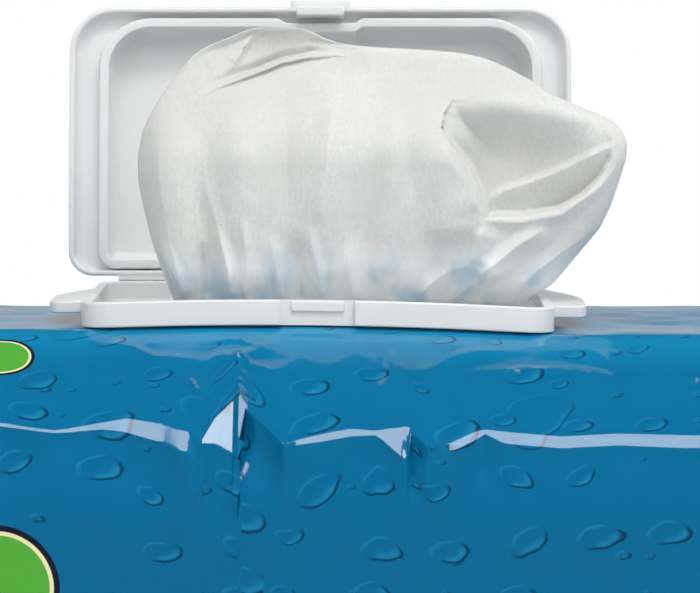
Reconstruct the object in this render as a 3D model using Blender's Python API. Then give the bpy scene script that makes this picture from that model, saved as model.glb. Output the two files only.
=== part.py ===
"""Soft pack of wet wipes with a flip-top closure, its lid open and one wipe pulled up.

Metres, +Z up. The origin is on the table under the middle of the pack, +X runs along the
pack and -Y is its front. Levels of the closure are measured from the top of its collar.
"""

import math

import bmesh
import bpy
from mathutils import Matrix, Vector

# Clearance between pieces that touch
GAP = 0.0003

# Film pouch
PACK_LENGTH = 0.216
PACK_DEPTH = 0.122
PACK_HEIGHT = 0.080
FILM = 0.0005
SEAL_LENGTH = 0.012
SEAL_LEVEL = 0.037
SEAL_OPENNESS = 0.010
SEAL_WIDTH_SHARE = 0.95
END_FOLD = 0.020
SHOULDER_DROP = 0.019
SHOULDER_BEND = 1.25
CREASE_SETBACK = 0.003
BASE_ROUND = 0.009
PLATEAU_MARGIN = 0.002

# Stack of folded wipes
STACK_END_GAP = 0.009
STACK_SIDE_GAP = 0.006
STACK_HEADROOM = 0.006
STACK_ROUND = 0.004

# Closure frame: collar, deck, side ears and rear ledge
CLOSURE_X = -0.0069
COLLAR_WIDTH = 0.1014
COLLAR_DEPTH = 0.0592
COLLAR_HEIGHT = 0.0054
COLLAR_WALL = 0.0022
COLLAR_RADIUS = 0.0070
RIM_ROUND = 0.0003
DECK = 0.0012
DECK_SIDE = 0.0045
DECK_FRONT = 0.0077
OPENING_RADIUS = 0.009
FILM_CUT_MARGIN = 0.0015
EAR_REACH = 0.0076
EAR_CORNER = 0.0027
EAR_FRONT = -0.0165
EAR_STRAIGHT = 0.0125
EAR_TAPER = 0.026
EAR_TOP = -0.0006
EAR_THICKNESS = 0.0026
BOW = 0.5
BOW_CREST = -0.012

# Latch at the middle of the front
LATCH_WIDTH = 0.016
LATCH_RAMP = 0.002
LATCH_RECESS = 0.0012
CATCH_WIDTH = 0.0112
CATCH_HEIGHT = 0.0021
CATCH_PROUD = 0.0006
CLASP_REACH = 0.0031
TAB_WIDTH = 0.0137
TAB_PROUD = 0.0016
TAB_THICKNESS = 0.0015

# Lid, by how far it stands out over the collar, and its rib, by how far it stands off the
# collar's outer faces
LID_SIDE_OVERHANG = 0.0077
LID_FRONT_OVERHANG = 0.0021
LID_REAR_OVERHANG = 0.0015
LID_FRONT_RADIUS = 0.0105
LID_REAR_RADIUS = 0.0058
RIB_FRONT_RADIUS = 0.0120
RIB_REAR_RADIUS = 0.0040
LID_WALL = 0.0013
LIP = 0.0012
RIB = 0.0022
RIB_OUTSIDE_SIDE = 0.0008
RIB_INSIDE_FRONT = 0.0004
RIB_INSIDE_REAR = 0.0002
CHANNEL_LEVEL = 0.0028
RECESS_LEVEL = 0.0080
RECESS_SLOPE = 0.0013
EDGE_ROUND = 0.0009
RIB_JOG = 0.0011
OPEN_ANGLE = 98.0

# Living hinge along the rear
HINGE_BEHIND_LID = 0.0008
HINGE_LEVEL = 0.0002
HINGE_END_SET = 0.0116
WEB_RADIUS = 0.0003
LEDGE_THICKNESS = 0.0014
LEDGE_REACH = 0.0070

# Wipe pulled up through the opening
WIPE_TOP = 0.0585
WIPE_FRONT = 0.018
WIPE_REAR = 0.015
NECK_LEFT_GAP = 0.014
NECK_RIGHT_GAP = 0.007
NECK_HALF_DEPTH = 0.0050
NECK_FLARE = 0.0010
DROOP_CLEARANCE = 0.0010

# How deep the neck has become at each of its three sections about the rim, as shares of its
# half depth in front and behind
NECK_SWELL = ((1.3, 1.1), (1.6, 1.2), (1.9, 1.3))

# Sections of the billow: share of the wipe's height, places of its left and right side from
# the neck's left (0) to the collar's right (1), and shares of its depth in front and behind
WIPE_BILLOW = (
    (0.16, -0.062, 1.062, 0.72, 0.55),
    (0.32, -0.099, 1.143, 0.95, 0.85),
    (0.47, -0.114, 1.186, 1.00, 1.00),
    (0.59, -0.099, 1.192, 1.00, 1.00),
    (0.68, -0.074, 1.136, 0.95, 0.95),
    (0.75, -0.050, 1.025, 0.86, 0.90),
    (0.83, 0.006, 0.888, 0.70, 0.80),
    (0.90, 0.056, 0.740, 0.50, 0.62),
    (0.96, 0.124, 0.504, 0.30, 0.40),
    (1.00, 0.211, 0.347, 0.10, 0.20),
)

# How blunt the pouch's end folds are: powers of their share along and of their openness
END_SQUARENESS = 6
END_FULLNESS = 1 / 3

# Mesh fineness: steps of round stretches, and shares along curved ones
CORNER_STEPS = 6
EAR_STEPS = 4
TOP_STEPS = 8
WIPE_POINTS = 28
LONG_SIDE_SHARES = (1 / 3, 2 / 3)
SHORT_SIDE_SHARES = (0.25, 0.5, 0.75)
SHOULDER_SHARES = (0.15, 0.4, 0.7, 1.0)
FRONT_SHARES = (0.35, 0.7, 1.0)
BASE_TURNS = (22.5, 45, 67.5, 90)
END_SHARES = (0.35, 0.55, 0.70, 0.80, 0.88, 0.94, 0.98)
SHARP_ANGLE = 35

# Places that follow from the sizes above
RIM = PACK_HEIGHT + GAP + COLLAR_HEIGHT
STACK_LENGTH = PACK_LENGTH - 2 * STACK_END_GAP
STACK_DEPTH = PACK_DEPTH - 2 * STACK_SIDE_GAP
STACK_TOP = PACK_HEIGHT - STACK_HEADROOM
OPENING_WIDTH = COLLAR_WIDTH - 2 * (COLLAR_WALL + DECK_SIDE)
OPENING_DEPTH = COLLAR_DEPTH - 2 * (COLLAR_WALL + DECK_FRONT)
LID_WIDTH = COLLAR_WIDTH + 2 * LID_SIDE_OVERHANG
LID_REAR = COLLAR_DEPTH / 2 + LID_REAR_OVERHANG
LID_FRONT = -COLLAR_DEPTH / 2 - LID_FRONT_OVERHANG
CHANNEL_SIDE = LID_SIDE_OVERHANG - LIP - RIB_OUTSIDE_SIDE
CHANNEL_FRONT = LID_FRONT_OVERHANG - LIP + RIB_INSIDE_FRONT
CHANNEL_REAR = LID_REAR_OVERHANG - LIP + RIB_INSIDE_REAR
HINGE_Y = LID_REAR + HINGE_BEHIND_LID
HINGE_WIDTH = LID_WIDTH - 2 * HINGE_END_SET
LIP_LEVEL = EAR_TOP + GAP
RIB_LEVEL = GAP


def clear_scene():
    for obj in list(bpy.data.objects):
        bpy.data.objects.remove(obj, do_unlink=True)


def smooth_step(t):
    t = max(0.0, min(1.0, t))
    return t * t * (3 - 2 * t)


def bow(x, y):
    """How far the frame, and the film under it, bend down towards the front corners."""
    half = COLLAR_WIDTH / 2
    from_crest = max(-half, min(half, x - CLOSURE_X)) - BOW_CREST
    share = smooth_step((COLLAR_DEPTH / 2 - y) / COLLAR_DEPTH)
    return BOW * from_crest * from_crest * share


# Mesh helpers
def new_object(name, bm, material=None):
    bmesh.ops.recalc_face_normals(bm, faces=bm.faces)
    mesh = bpy.data.meshes.new(name)
    bm.to_mesh(mesh)
    bm.free()
    mesh.shade_smooth()
    mesh.set_sharp_from_angle(angle=math.radians(SHARP_ANGLE))
    obj = bpy.data.objects.new(name, mesh)
    bpy.context.scene.collection.objects.link(obj)
    if material:
        mesh.materials.append(material)
    return obj


def loft(loops, ring=False):
    """Skin of quads through loops of equal length, closed by end faces or into a ring."""
    bm = bmesh.new()
    rows = [[bm.verts.new(point) for point in loop] for loop in loops]
    count = len(rows[0])
    spans = list(zip(rows, rows[1:]))
    if ring:
        spans.append((rows[-1], rows[0]))
    for low, high in spans:
        for i in range(count):
            j = (i + 1) % count
            bm.faces.new((low[i], low[j], high[j], high[i]))
    if not ring:
        bm.faces.new(rows[0])
        bm.faces.new(rows[-1])
    return bm


def prism(outline, low, high, bend=None):
    """Solid between two levels over an outline in plan, moved down by bend(x, y)."""
    drop = bend or (lambda x, y: 0.0)
    return loft([[(x, y, level - drop(x, y)) for x, y in outline] for level in (low, high)])


def bar(outline, left, right):
    """Solid along X over an outline of (y, z) points."""
    return loft([[(x, y, z) for y, z in outline] for x in (left, right)])


def block_outline(left, right, front, rear):
    return [(left, front), (right, front), (right, rear), (left, rear)]


def boolean(obj, tool, operation):
    modifier = obj.modifiers.new(tool.name, "BOOLEAN")
    modifier.operation = operation
    modifier.solver = "EXACT"
    modifier.object = tool
    tool.hide_render = True
    tool.display_type = "WIRE"


def merge(obj, tool):
    boolean(obj, tool, "UNION")


def cut(obj, tool):
    boolean(obj, tool, "DIFFERENCE")


# Outlines in plan
def arc(centre, radius, start, steps=CORNER_STEPS):
    """Quarter circle from the angle start, in degrees, anticlockwise."""
    angles = [math.radians(start + 90 * i / steps) for i in range(steps + 1)]
    return [(centre[0] + radius * math.cos(a), centre[1] + radius * math.sin(a)) for a in angles]


def latch_jog(x, depth):
    """Step of the given depth across the width of the latch."""
    return depth * (1 - smooth_step((abs(x) - LATCH_WIDTH / 2) / LATCH_RAMP))


def rounded_outline(half_width, front, rear, front_radius, rear_radius, jog=0.0):
    """Rounded rectangle about the closure's middle, anticlockwise, with points along its
    long sides so that it can step back at the latch and bow with the frame."""
    x_front = half_width - front_radius
    x_rear = half_width - rear_radius
    latch = LATCH_WIDTH / 2
    ramp_end = latch + LATCH_RAMP
    straight = min(x_front, x_rear) - ramp_end
    marks = [latch, latch + LATCH_RAMP / 2, ramp_end]
    marks += [ramp_end + straight * share for share in LONG_SIDE_SHARES]
    marks = [-m for m in reversed(marks)] + [0.0] + marks
    depth = rear - front - front_radius - rear_radius
    side = [front + front_radius + depth * share for share in SHORT_SIDE_SHARES]
    points = [(x, front + latch_jog(x, jog)) for x in marks]
    points += arc((x_front, front + front_radius), front_radius, 270)
    points += [(half_width, y) for y in side]
    points += arc((x_rear, rear - rear_radius), rear_radius, 0)
    points += [(x, rear) for x in reversed(marks)]
    points += arc((-x_rear, rear - rear_radius), rear_radius, 90)
    points += [(-half_width, y) for y in reversed(side)]
    points += arc((-x_front, front + front_radius), front_radius, 180)
    return points


def at_closure(outline):
    return [(CLOSURE_X + x, y) for x, y in outline]


# Film pouch and stack
def pack_section():
    """Outline of the pack across its middle as (y, z): flat top, sloping shoulders, full
    front and back, rounded lower edges and a flat base."""
    top = COLLAR_DEPTH / 2 - PLATEAU_MARGIN
    crease = PACK_DEPTH / 2 - CREASE_SETBACK
    crease_level = PACK_HEIGHT - SHOULDER_DROP
    half = [(0.0, PACK_HEIGHT), (top / 2, PACK_HEIGHT), (top, PACK_HEIGHT)]
    for t in SHOULDER_SHARES:
        half.append((top + (crease - top) * t, PACK_HEIGHT - SHOULDER_DROP * t ** SHOULDER_BEND))
    for t in FRONT_SHARES:
        bulge = CREASE_SETBACK * math.sin(math.pi / 2 * t)
        half.append((crease + bulge, crease_level - (crease_level - BASE_ROUND) * t))
    for angle in BASE_TURNS:
        turn = math.radians(angle)
        y = PACK_DEPTH / 2 - BASE_ROUND * (1 - math.cos(turn))
        half.append((y, BASE_ROUND * (1 - math.sin(turn))))
    half.append((0.0, 0.0))
    return half + [(-y, z) for y, z in reversed(half[1:-1])]


def end_openness(share):
    """How open the pouch still is along its end fold: 1 at its start, 0 at the seal."""
    return (1 - share ** END_SQUARENESS) ** END_FULLNESS


def pouch_stations():
    """(x, openness, width share) along the body, from the left seal to the right one."""
    half = PACK_LENGTH / 2
    start = half - END_FOLD
    middle = [CLOSURE_X + COLLAR_WIDTH * (step / TOP_STEPS - 0.5) for step in range(TOP_STEPS + 1)]
    right = [(start, 1.0, 1.0)]
    for share in END_SHARES:
        width = 1 - (1 - SEAL_WIDTH_SHARE) * share
        right.append((start + END_FOLD * share, end_openness(share), width))
    right.append((half, SEAL_OPENNESS, SEAL_WIDTH_SHARE))
    left = [(-x, openness, width) for x, openness, width in reversed(right)]
    return left + [(x, 1.0, 1.0) for x in middle] + right


def pouch_loop(x, openness, width):
    loop = []
    for y, z in pack_section():
        level = SEAL_LEVEL + (z - SEAL_LEVEL) * openness
        upper = smooth_step((level - SEAL_LEVEL) / (PACK_HEIGHT - SHOULDER_DROP - SEAL_LEVEL))
        loop.append(Vector((x, y * width, level - bow(x, y * width) * upper * openness)))
    return loop


def make_film_pouch(material):
    stations = pouch_stations()
    end = PACK_LENGTH / 2 + SEAL_LENGTH
    seal = (SEAL_OPENNESS, SEAL_WIDTH_SHARE)
    outer = [pouch_loop(*station) for station in [(-end, *seal), *stations, (end, *seal)]]
    pouch = new_object("film_pouch", loft(outer), material)

    middle = Vector((0, 0, PACK_HEIGHT / 2))
    shrink = Matrix.Diagonal(Vector(1 - 2 * FILM / size for size in (PACK_LENGTH, PACK_DEPTH, PACK_HEIGHT)))
    inner = [[middle + shrink @ (point - middle) for point in pouch_loop(*station)] for station in stations]
    cut(pouch, new_object("pouch_cavity", loft(inner)))

    mouth = at_closure(opening_outline(FILM_CUT_MARGIN))
    cut(pouch, new_object("pouch_mouth", prism(mouth, STACK_TOP, RIM)))
    return pouch


def make_wipes_stack(material):
    """Folded wipes as one block with the section of the pack, standing on its base film."""
    foot = FILM + GAP
    wide = STACK_DEPTH / PACK_DEPTH
    tall = (STACK_TOP - foot) / PACK_HEIGHT
    section = [(y * wide, foot + z * tall) for y, z in pack_section()]
    half = STACK_LENGTH / 2
    middle = (foot + STACK_TOP) / 2
    loops = []
    for x, inset in ((half, STACK_ROUND), (half - STACK_ROUND / 4, STACK_ROUND / 4), (half - STACK_ROUND, 0.0)):
        shrink_y = 1 - 2 * inset / STACK_DEPTH
        shrink_z = 1 - 2 * inset / STACK_TOP
        loops.append([(x, y * shrink_y, middle + (z - middle) * shrink_z) for y, z in section])
    left = [[(-x, y, z) for x, y, z in loop] for loop in loops]
    return new_object("wipes_stack", loft(left + loops[::-1]), material)


# Closure frame
def opening_outline(margin=0.0):
    """Dispensing opening in plan, about the closure's middle, widened by the margin."""
    half_depth = OPENING_DEPTH / 2 + margin
    radius = OPENING_RADIUS + margin
    return rounded_outline(OPENING_WIDTH / 2 + margin, -half_depth, half_depth, radius, radius)


def collar_outline(inset):
    half_depth = COLLAR_DEPTH / 2 - inset
    radius = COLLAR_RADIUS - inset
    return rounded_outline(COLLAR_WIDTH / 2 - inset, -half_depth, half_depth, radius, radius)


def ear_outline(side):
    """Side ear in plan: square at the front and easing into the collar behind."""
    root = COLLAR_WIDTH / 2 - COLLAR_WALL / 2
    tip = COLLAR_WIDTH / 2 + EAR_REACH
    straight = EAR_FRONT + EAR_STRAIGHT
    shape = [(root, EAR_FRONT)] + arc((tip - EAR_CORNER, EAR_FRONT + EAR_CORNER), EAR_CORNER, 270)
    for step in range(EAR_STEPS + 1):
        share = step / EAR_STEPS
        shape.append((tip - (tip - root) * smooth_step(share), straight + EAR_TAPER * share))
    return at_closure([(side * x, y) for x, y in shape])


def make_closure_base(material):
    floor = -COLLAR_HEIGHT
    deck = floor + DECK
    sections = [
        (collar_outline(0.0), floor),
        (collar_outline(0.0), -2 * RIM_ROUND),
        (collar_outline(RIM_ROUND), 0.0),
        (collar_outline(COLLAR_WALL - RIM_ROUND), 0.0),
        (collar_outline(COLLAR_WALL), -2 * RIM_ROUND),
        (collar_outline(COLLAR_WALL), deck),
        (opening_outline(), deck),
        (opening_outline(), floor),
    ]
    loops = []
    for outline, level in sections:
        loops.append([(x, y, RIM + level - bow(x, y)) for x, y in at_closure(outline)])
    base = new_object("closure_base", loft(loops, ring=True), material)

    for name, side in (("left_ear", -1), ("right_ear", 1)):
        ear = prism(ear_outline(side), RIM + EAR_TOP - EAR_THICKNESS, RIM + EAR_TOP, bow)
        merge(base, new_object(name, ear))
    merge(base, new_object("rear_ledge", rear_ledge()))
    cut(base, new_object("latch_recess", latch_recess()))
    merge(base, new_object("latch_catch", latch_catch()))
    return base


def rear_ledge():
    """Ledge behind the collar: a gutter under the hinge, a low ridge where the web is
    rooted, and a raised back edge on which the open lid rests its heel."""
    inside = COLLAR_DEPTH / 2 - COLLAR_WALL / 2
    back = COLLAR_DEPTH / 2 + LEDGE_REACH
    gutter = EAR_TOP
    ridge = HINGE_LEVEL - WEB_RADIUS - GAP
    stop_front = HINGE_Y + 4 * WEB_RADIUS
    underside = gutter - LEDGE_THICKNESS
    outline = [
        (inside, underside),
        (back, underside),
        (back, heel_level() - GAP),
        (stop_front, heel_level() - GAP),
        (stop_front, gutter),
        (HINGE_Y + 1.5 * WEB_RADIUS, gutter),
        (HINGE_Y + WEB_RADIUS, ridge),
        (HINGE_Y - WEB_RADIUS, ridge),
        (HINGE_Y - 1.5 * WEB_RADIUS, gutter),
        (inside, gutter),
    ]
    half = HINGE_WIDTH / 2
    return bar([(y, RIM + z) for y, z in outline], CLOSURE_X - half, CLOSURE_X + half)


def heel_level():
    """Lowest level that the back of the open lid reaches behind the hinge."""
    turn = math.radians(-OPEN_ANGLE)
    top = CHANNEL_LEVEL + LID_WALL - EDGE_ROUND - HINGE_LEVEL
    return HINGE_LEVEL - HINGE_BEHIND_LID * math.sin(turn) + top * math.cos(turn)


def latch_recess():
    """Shallow pocket in the front wall, as high as the wall."""
    half = LATCH_WIDTH / 2
    front = -COLLAR_DEPTH / 2
    outline = at_closure(block_outline(-half, half, 2 * front, front + LATCH_RECESS))
    return prism(outline, PACK_HEIGHT - COLLAR_HEIGHT, RIM + COLLAR_HEIGHT)


def latch_catch():
    """Bead in the recess that the clasp snaps over."""
    half = CATCH_WIDTH / 2
    face = LATCH_RECESS - COLLAR_DEPTH / 2
    root = face + COLLAR_WALL / 4
    outline = at_closure(block_outline(-half, half, face - CATCH_PROUD, root))
    return prism(outline, RIM - RIM_ROUND - CATCH_HEIGHT, RIM - RIM_ROUND, bow)


# Lid
def lid_loop(level, channel=0.0, inset=0.0):
    """Loop of the closed lid at a level above the rim. channel is the share of the channel
    between the outer lip and the rib that the loop has crossed, inset its further offset."""
    half_width = LID_WIDTH / 2 - inset - channel * CHANNEL_SIDE
    front = LID_FRONT + inset + channel * CHANNEL_FRONT
    rear = LID_REAR - inset - channel * CHANNEL_REAR
    front_radius = LID_FRONT_RADIUS + channel * (RIB_FRONT_RADIUS - LID_FRONT_RADIUS + LIP) - inset
    rear_radius = LID_REAR_RADIUS + channel * (RIB_REAR_RADIUS - LID_REAR_RADIUS + LIP) - inset
    outline = rounded_outline(half_width, front, rear, front_radius, max(rear_radius, EDGE_ROUND), channel * RIB_JOG)
    return [(x, y - HINGE_Y, level - HINGE_LEVEL) for x, y in outline]


def make_closure_lid(material):
    """Lid built closed about its hinge axis, then turned up to its open place."""
    margin_top = CHANNEL_LEVEL + LID_WALL
    panel_top = RECESS_LEVEL + LID_WALL
    rib_inner = LIP + RIB
    wall = LID_WALL + RECESS_SLOPE / 2
    loops = [
        lid_loop(panel_top, 1, rib_inner + 2 * RECESS_SLOPE),
        lid_loop(panel_top, 1, rib_inner - wall + RECESS_SLOPE + EDGE_ROUND),
        lid_loop(panel_top - EDGE_ROUND, 1, rib_inner - wall + RECESS_SLOPE),
        lid_loop(margin_top, 1, rib_inner - wall),
        lid_loop(margin_top, 0, EDGE_ROUND),
        lid_loop(margin_top - EDGE_ROUND, 0, EDGE_ROUND / 4),
        lid_loop(LIP_LEVEL, 0, 0),
        lid_loop(LIP_LEVEL, 0, LIP),
        lid_loop(CHANNEL_LEVEL - EDGE_ROUND, 0.02, LIP),
        lid_loop(CHANNEL_LEVEL, 0.15, LIP),
        lid_loop(CHANNEL_LEVEL, 0.9, LIP),
        lid_loop(RIB_LEVEL, 1, LIP),
        lid_loop(RIB_LEVEL, 1, rib_inner),
        lid_loop(RECESS_LEVEL - EDGE_ROUND, 1, rib_inner + RECESS_SLOPE),
        lid_loop(RECESS_LEVEL, 1, rib_inner + RECESS_SLOPE + EDGE_ROUND),
    ]
    lid = new_object("closure_lid", loft(loops), material)
    tools = [new_object("lid_tab", lid_tab()), new_object("lid_clasp", lid_clasp()), new_object("lid_web", lid_web())]
    for tool in tools:
        merge(lid, tool)
    for obj in (lid, *tools):
        obj.location = (CLOSURE_X, HINGE_Y, RIM + HINGE_LEVEL)
        obj.rotation_euler = (math.radians(-OPEN_ANGLE), 0, 0)
    return lid


def lid_block(half_width, front, rear, low, high):
    outline = block_outline(-half_width, half_width, front - HINGE_Y, rear - HINGE_Y)
    return prism(outline, low - HINGE_LEVEL, high - HINGE_LEVEL)


def lid_tab():
    """Thumb tab that stands out from the middle of the front lip."""
    root = LID_FRONT + LIP / 2
    return lid_block(TAB_WIDTH / 2, LID_FRONT - TAB_PROUD, root, LIP_LEVEL, LIP_LEVEL + TAB_THICKNESS)


def lid_clasp():
    """Tongue behind the tab that reaches down in front of the catch."""
    catch_face = LATCH_RECESS - COLLAR_DEPTH / 2 - CATCH_PROUD
    low = LIP_LEVEL - CLASP_REACH
    high = CHANNEL_LEVEL + LID_WALL / 2
    return lid_block(CATCH_WIDTH / 2, LID_FRONT + LIP / 4, catch_face - GAP, low, high)


def lid_web():
    """Thin web from the rear lip to the hinge axis, round about that axis."""
    turns = [math.radians(angle) for angle in range(-90, 91, 30)]
    tip = [(WEB_RADIUS * math.cos(a), WEB_RADIUS * math.sin(a)) for a in turns]
    root = -HINGE_BEHIND_LID - LIP / 2
    half = HINGE_WIDTH / 2
    return bar([(root, -WEB_RADIUS), *tip, (root, WEB_RADIUS)], -half, half)


# Wipe
def wipe_spans():
    """(level, left, right, front, rear) of the pulled-up wipe. Its neck stands in the
    opening, its right side droops over the frame, and its top is a narrow ridge."""
    foot = STACK_TOP + GAP - RIM
    neck = NECK_HALF_DEPTH
    left = CLOSURE_X - OPENING_WIDTH / 2 + NECK_LEFT_GAP
    right = CLOSURE_X + OPENING_WIDTH / 2 - NECK_RIGHT_GAP
    over_rim = CLOSURE_X + COLLAR_WIDTH / 2
    low_rim = over_rim - COLLAR_WALL - DROOP_CLEARANCE
    spans = [
        (foot, left, right, -neck, neck),
        (DECK - COLLAR_HEIGHT, left, right, -neck, neck),
    ]
    places = (
        (-DROOP_CLEARANCE, left - NECK_FLARE, low_rim - 3 * NECK_FLARE),
        (DROOP_CLEARANCE / 2, left - 1.5 * NECK_FLARE, low_rim),
        (2 * DROOP_CLEARANCE, left - 2.5 * NECK_FLARE, over_rim),
    )
    for (level, low_left, low_right), (before, behind) in zip(places, NECK_SWELL):
        spans.append((level, low_left, low_right, -before * neck, behind * neck))
    width = over_rim - left
    for height, near, far, before, behind in WIPE_BILLOW:
        sides = (left + near * width, left + far * width)
        spans.append((height * WIPE_TOP, *sides, -before * WIPE_FRONT, behind * WIPE_REAR))
    return spans


def make_popped_wipe(material):
    loops = []
    for level, left, right, front, rear in wipe_spans():
        centre = ((left + right) / 2, (front + rear) / 2)
        size = ((right - left) / 2, (rear - front) / 2)
        loop = []
        for i in range(WIPE_POINTS):
            turn = 2 * math.pi * i / WIPE_POINTS
            loop.append((centre[0] + size[0] * math.cos(turn), centre[1] + size[1] * math.sin(turn), RIM + level))
        loops.append(loop)
    return new_object("popped_wipe", loft(loops), material)


# Materials
def plain_material(name, colour, roughness):
    material = bpy.data.materials.new(name)
    material.use_nodes = True
    shader = material.node_tree.nodes["Principled BSDF"]
    shader.inputs["Base Color"].default_value = (*colour, 1.0)
    shader.inputs["Roughness"].default_value = roughness
    shader.inputs["Metallic"].default_value = 0.0
    return material


def film_material():
    return plain_material("blue_film", (0.012, 0.180, 0.360), 0.18)


def closure_material(name):
    return plain_material(name, (0.83, 0.85, 0.86), 0.35)


def wipe_material(name):
    return plain_material(name, (0.84, 0.84, 0.82), 0.85)


def main():
    clear_scene()
    make_film_pouch(film_material())
    make_wipes_stack(wipe_material("stacked_cloth"))
    make_closure_base(closure_material("white_frame"))
    make_closure_lid(closure_material("white_lid"))
    make_popped_wipe(wipe_material("damp_cloth"))


main()
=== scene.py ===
"""Looks of the soft wet wipes pack: printed film, moulded closure, folded stack and pulled-up wipe.

Metres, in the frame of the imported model. Levels of the closure are measured from its rim.
"""

import math

import bmesh
import bpy
import numpy as np
from mathutils import Matrix, Vector


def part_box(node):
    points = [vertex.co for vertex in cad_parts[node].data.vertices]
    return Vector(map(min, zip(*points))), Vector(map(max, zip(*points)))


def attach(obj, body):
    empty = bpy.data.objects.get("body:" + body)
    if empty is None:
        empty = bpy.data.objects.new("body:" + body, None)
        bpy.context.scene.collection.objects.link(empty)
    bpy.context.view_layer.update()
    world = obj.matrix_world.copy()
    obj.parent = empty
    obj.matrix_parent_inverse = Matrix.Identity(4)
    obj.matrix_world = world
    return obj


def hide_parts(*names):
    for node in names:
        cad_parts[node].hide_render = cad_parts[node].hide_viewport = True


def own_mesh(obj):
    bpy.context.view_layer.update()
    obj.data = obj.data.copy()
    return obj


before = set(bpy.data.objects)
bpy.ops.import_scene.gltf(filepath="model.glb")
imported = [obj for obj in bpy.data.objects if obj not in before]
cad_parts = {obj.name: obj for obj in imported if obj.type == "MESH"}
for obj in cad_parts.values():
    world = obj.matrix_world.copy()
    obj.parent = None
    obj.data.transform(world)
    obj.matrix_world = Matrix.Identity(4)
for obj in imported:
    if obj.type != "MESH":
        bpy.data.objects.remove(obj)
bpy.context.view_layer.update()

# The photograph: size in pixels, focal length in pixels, eye, and the pixel row of the eye's level
PHOTO_WIDTH = 700
PHOTO_HEIGHT = 593
FOCAL = 3075.0
EYE = Vector((0.0, -0.680, 0.135))
EYE_ROW = 67.0
MIDDLE_COLUMN = PHOTO_WIDTH / 2

# The pack, as its construction has it
PACK_LENGTH = 0.216
PACK_DEPTH = 0.122
PACK_HEIGHT = 0.080
SEAL_LENGTH = 0.012
SEAL_LEVEL = 0.037
SEAL_OPENNESS = 0.010
SEAL_WIDTH_SHARE = 0.95
END_FOLD = 0.020
SHOULDER_DROP = 0.019
SHOULDER_BEND = 1.25
CREASE_SETBACK = 0.003
BASE_ROUND = 0.009
PLATEAU_MARGIN = 0.002
GAP = 0.0003
SLIVER = 0.000002

# The closure, as its construction has it
CLOSURE_X = -0.0069
COLLAR_WIDTH = 0.1014
COLLAR_DEPTH = 0.0592
COLLAR_HEIGHT = 0.0054
COLLAR_WALL = 0.0022
COLLAR_RADIUS = 0.0070
DECK = 0.0012
OPENING_WIDTH = 0.088
OPENING_DEPTH = 0.0394
OPENING_RADIUS = 0.009
FILM_CUT_MARGIN = 0.0015
EAR_REACH = 0.0076
EAR_FRONT = -0.0165
EAR_STRAIGHT = 0.0125
EAR_TAPER = 0.026
EAR_TOP = -0.0006
EAR_THICKNESS = 0.0026
BOW = 0.5
BOW_CREST = -0.012
LATCH_WIDTH = 0.016
LATCH_RAMP = 0.002
LATCH_RECESS = 0.0012
CATCH_WIDTH = 0.0112
CATCH_HEIGHT = 0.0021
CATCH_PROUD = 0.0006
CLASP_REACH = 0.0031
TAB_WIDTH = 0.0137
TAB_PROUD = 0.0016
TAB_THICKNESS = 0.0015
LID_WIDTH = 0.1168
LID_DEPTH = 0.0628
LID_FRONT_OVERHANG = 0.0021
LID_FRONT_RADIUS = 0.0105
LID_REAR_RADIUS = 0.0058
RIB_FRONT_RADIUS = 0.0120
RIB_REAR_RADIUS = 0.0040
LID_WALL = 0.0013
LIP = 0.0012
RIB = 0.0022
CHANNEL_SIDE = 0.0057
CHANNEL_FRONT = 0.0013
CHANNEL_REAR = 0.0005
CHANNEL_LEVEL = 0.0028
RECESS_LEVEL = 0.0080
RECESS_SLOPE = 0.0013
EDGE_ROUND = 0.0009
SOFT_EDGE = 0.0004
RIB_JOG = 0.0011
OPEN_ANGLE = 98.0
HINGE_BEHIND_LID = 0.0008
HINGE_LEVEL = 0.0002
HINGE_WIDTH = 0.0936
WEB_RADIUS = 0.0003
LEDGE_THICKNESS = 0.0014
LEDGE_REACH = 0.0070

RIM = PACK_HEIGHT + GAP + COLLAR_HEIGHT
LID_REAR = LID_DEPTH - LID_FRONT_OVERHANG - COLLAR_DEPTH / 2
HINGE_Y = LID_REAR + HINGE_BEHIND_LID
LIP_LEVEL = EAR_TOP + GAP
RIB_LEVEL = GAP
CORNER_STEPS = 20


def smooth_step(t):
    t = np.clip(t, 0.0, 1.0)
    return t * t * (3 - 2 * t)


def bow(x, y):
    """How far the frame, and the film under it, bend down towards the front corners."""
    half = COLLAR_WIDTH / 2
    from_crest = np.clip(x - CLOSURE_X, -half, half) - BOW_CREST
    share = smooth_step((COLLAR_DEPTH / 2 - y) / COLLAR_DEPTH)
    return BOW * from_crest * from_crest * share


def linear(red, green, blue):
    """Linear colour of an 8-bit screen colour."""
    values = []
    for value in (red, green, blue):
        v = value / 255
        values.append(v / 12.92 if v <= 0.04045 else ((v + 0.055) / 1.055) ** 2.4)
    return (*values, 1.0)


def value_noise(u, v, cell, seed):
    """Smooth noise from -1 to 1 over two coordinates, from a seeded lattice."""
    rng = np.random.default_rng(seed)
    lattice = rng.uniform(-1, 1, (97, 97))
    gu = u / cell
    gv = v / cell
    iu = np.floor(gu).astype(int)
    iv = np.floor(gv).astype(int)
    fu = smooth_step(gu - iu)
    fv = smooth_step(gv - iv)
    a = lattice[iu % 97, iv % 97]
    b = lattice[(iu + 1) % 97, iv % 97]
    c = lattice[iu % 97, (iv + 1) % 97]
    d = lattice[(iu + 1) % 97, (iv + 1) % 97]
    return (a * (1 - fu) + b * fu) * (1 - fv) + (c * (1 - fu) + d * fu) * fv


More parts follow.
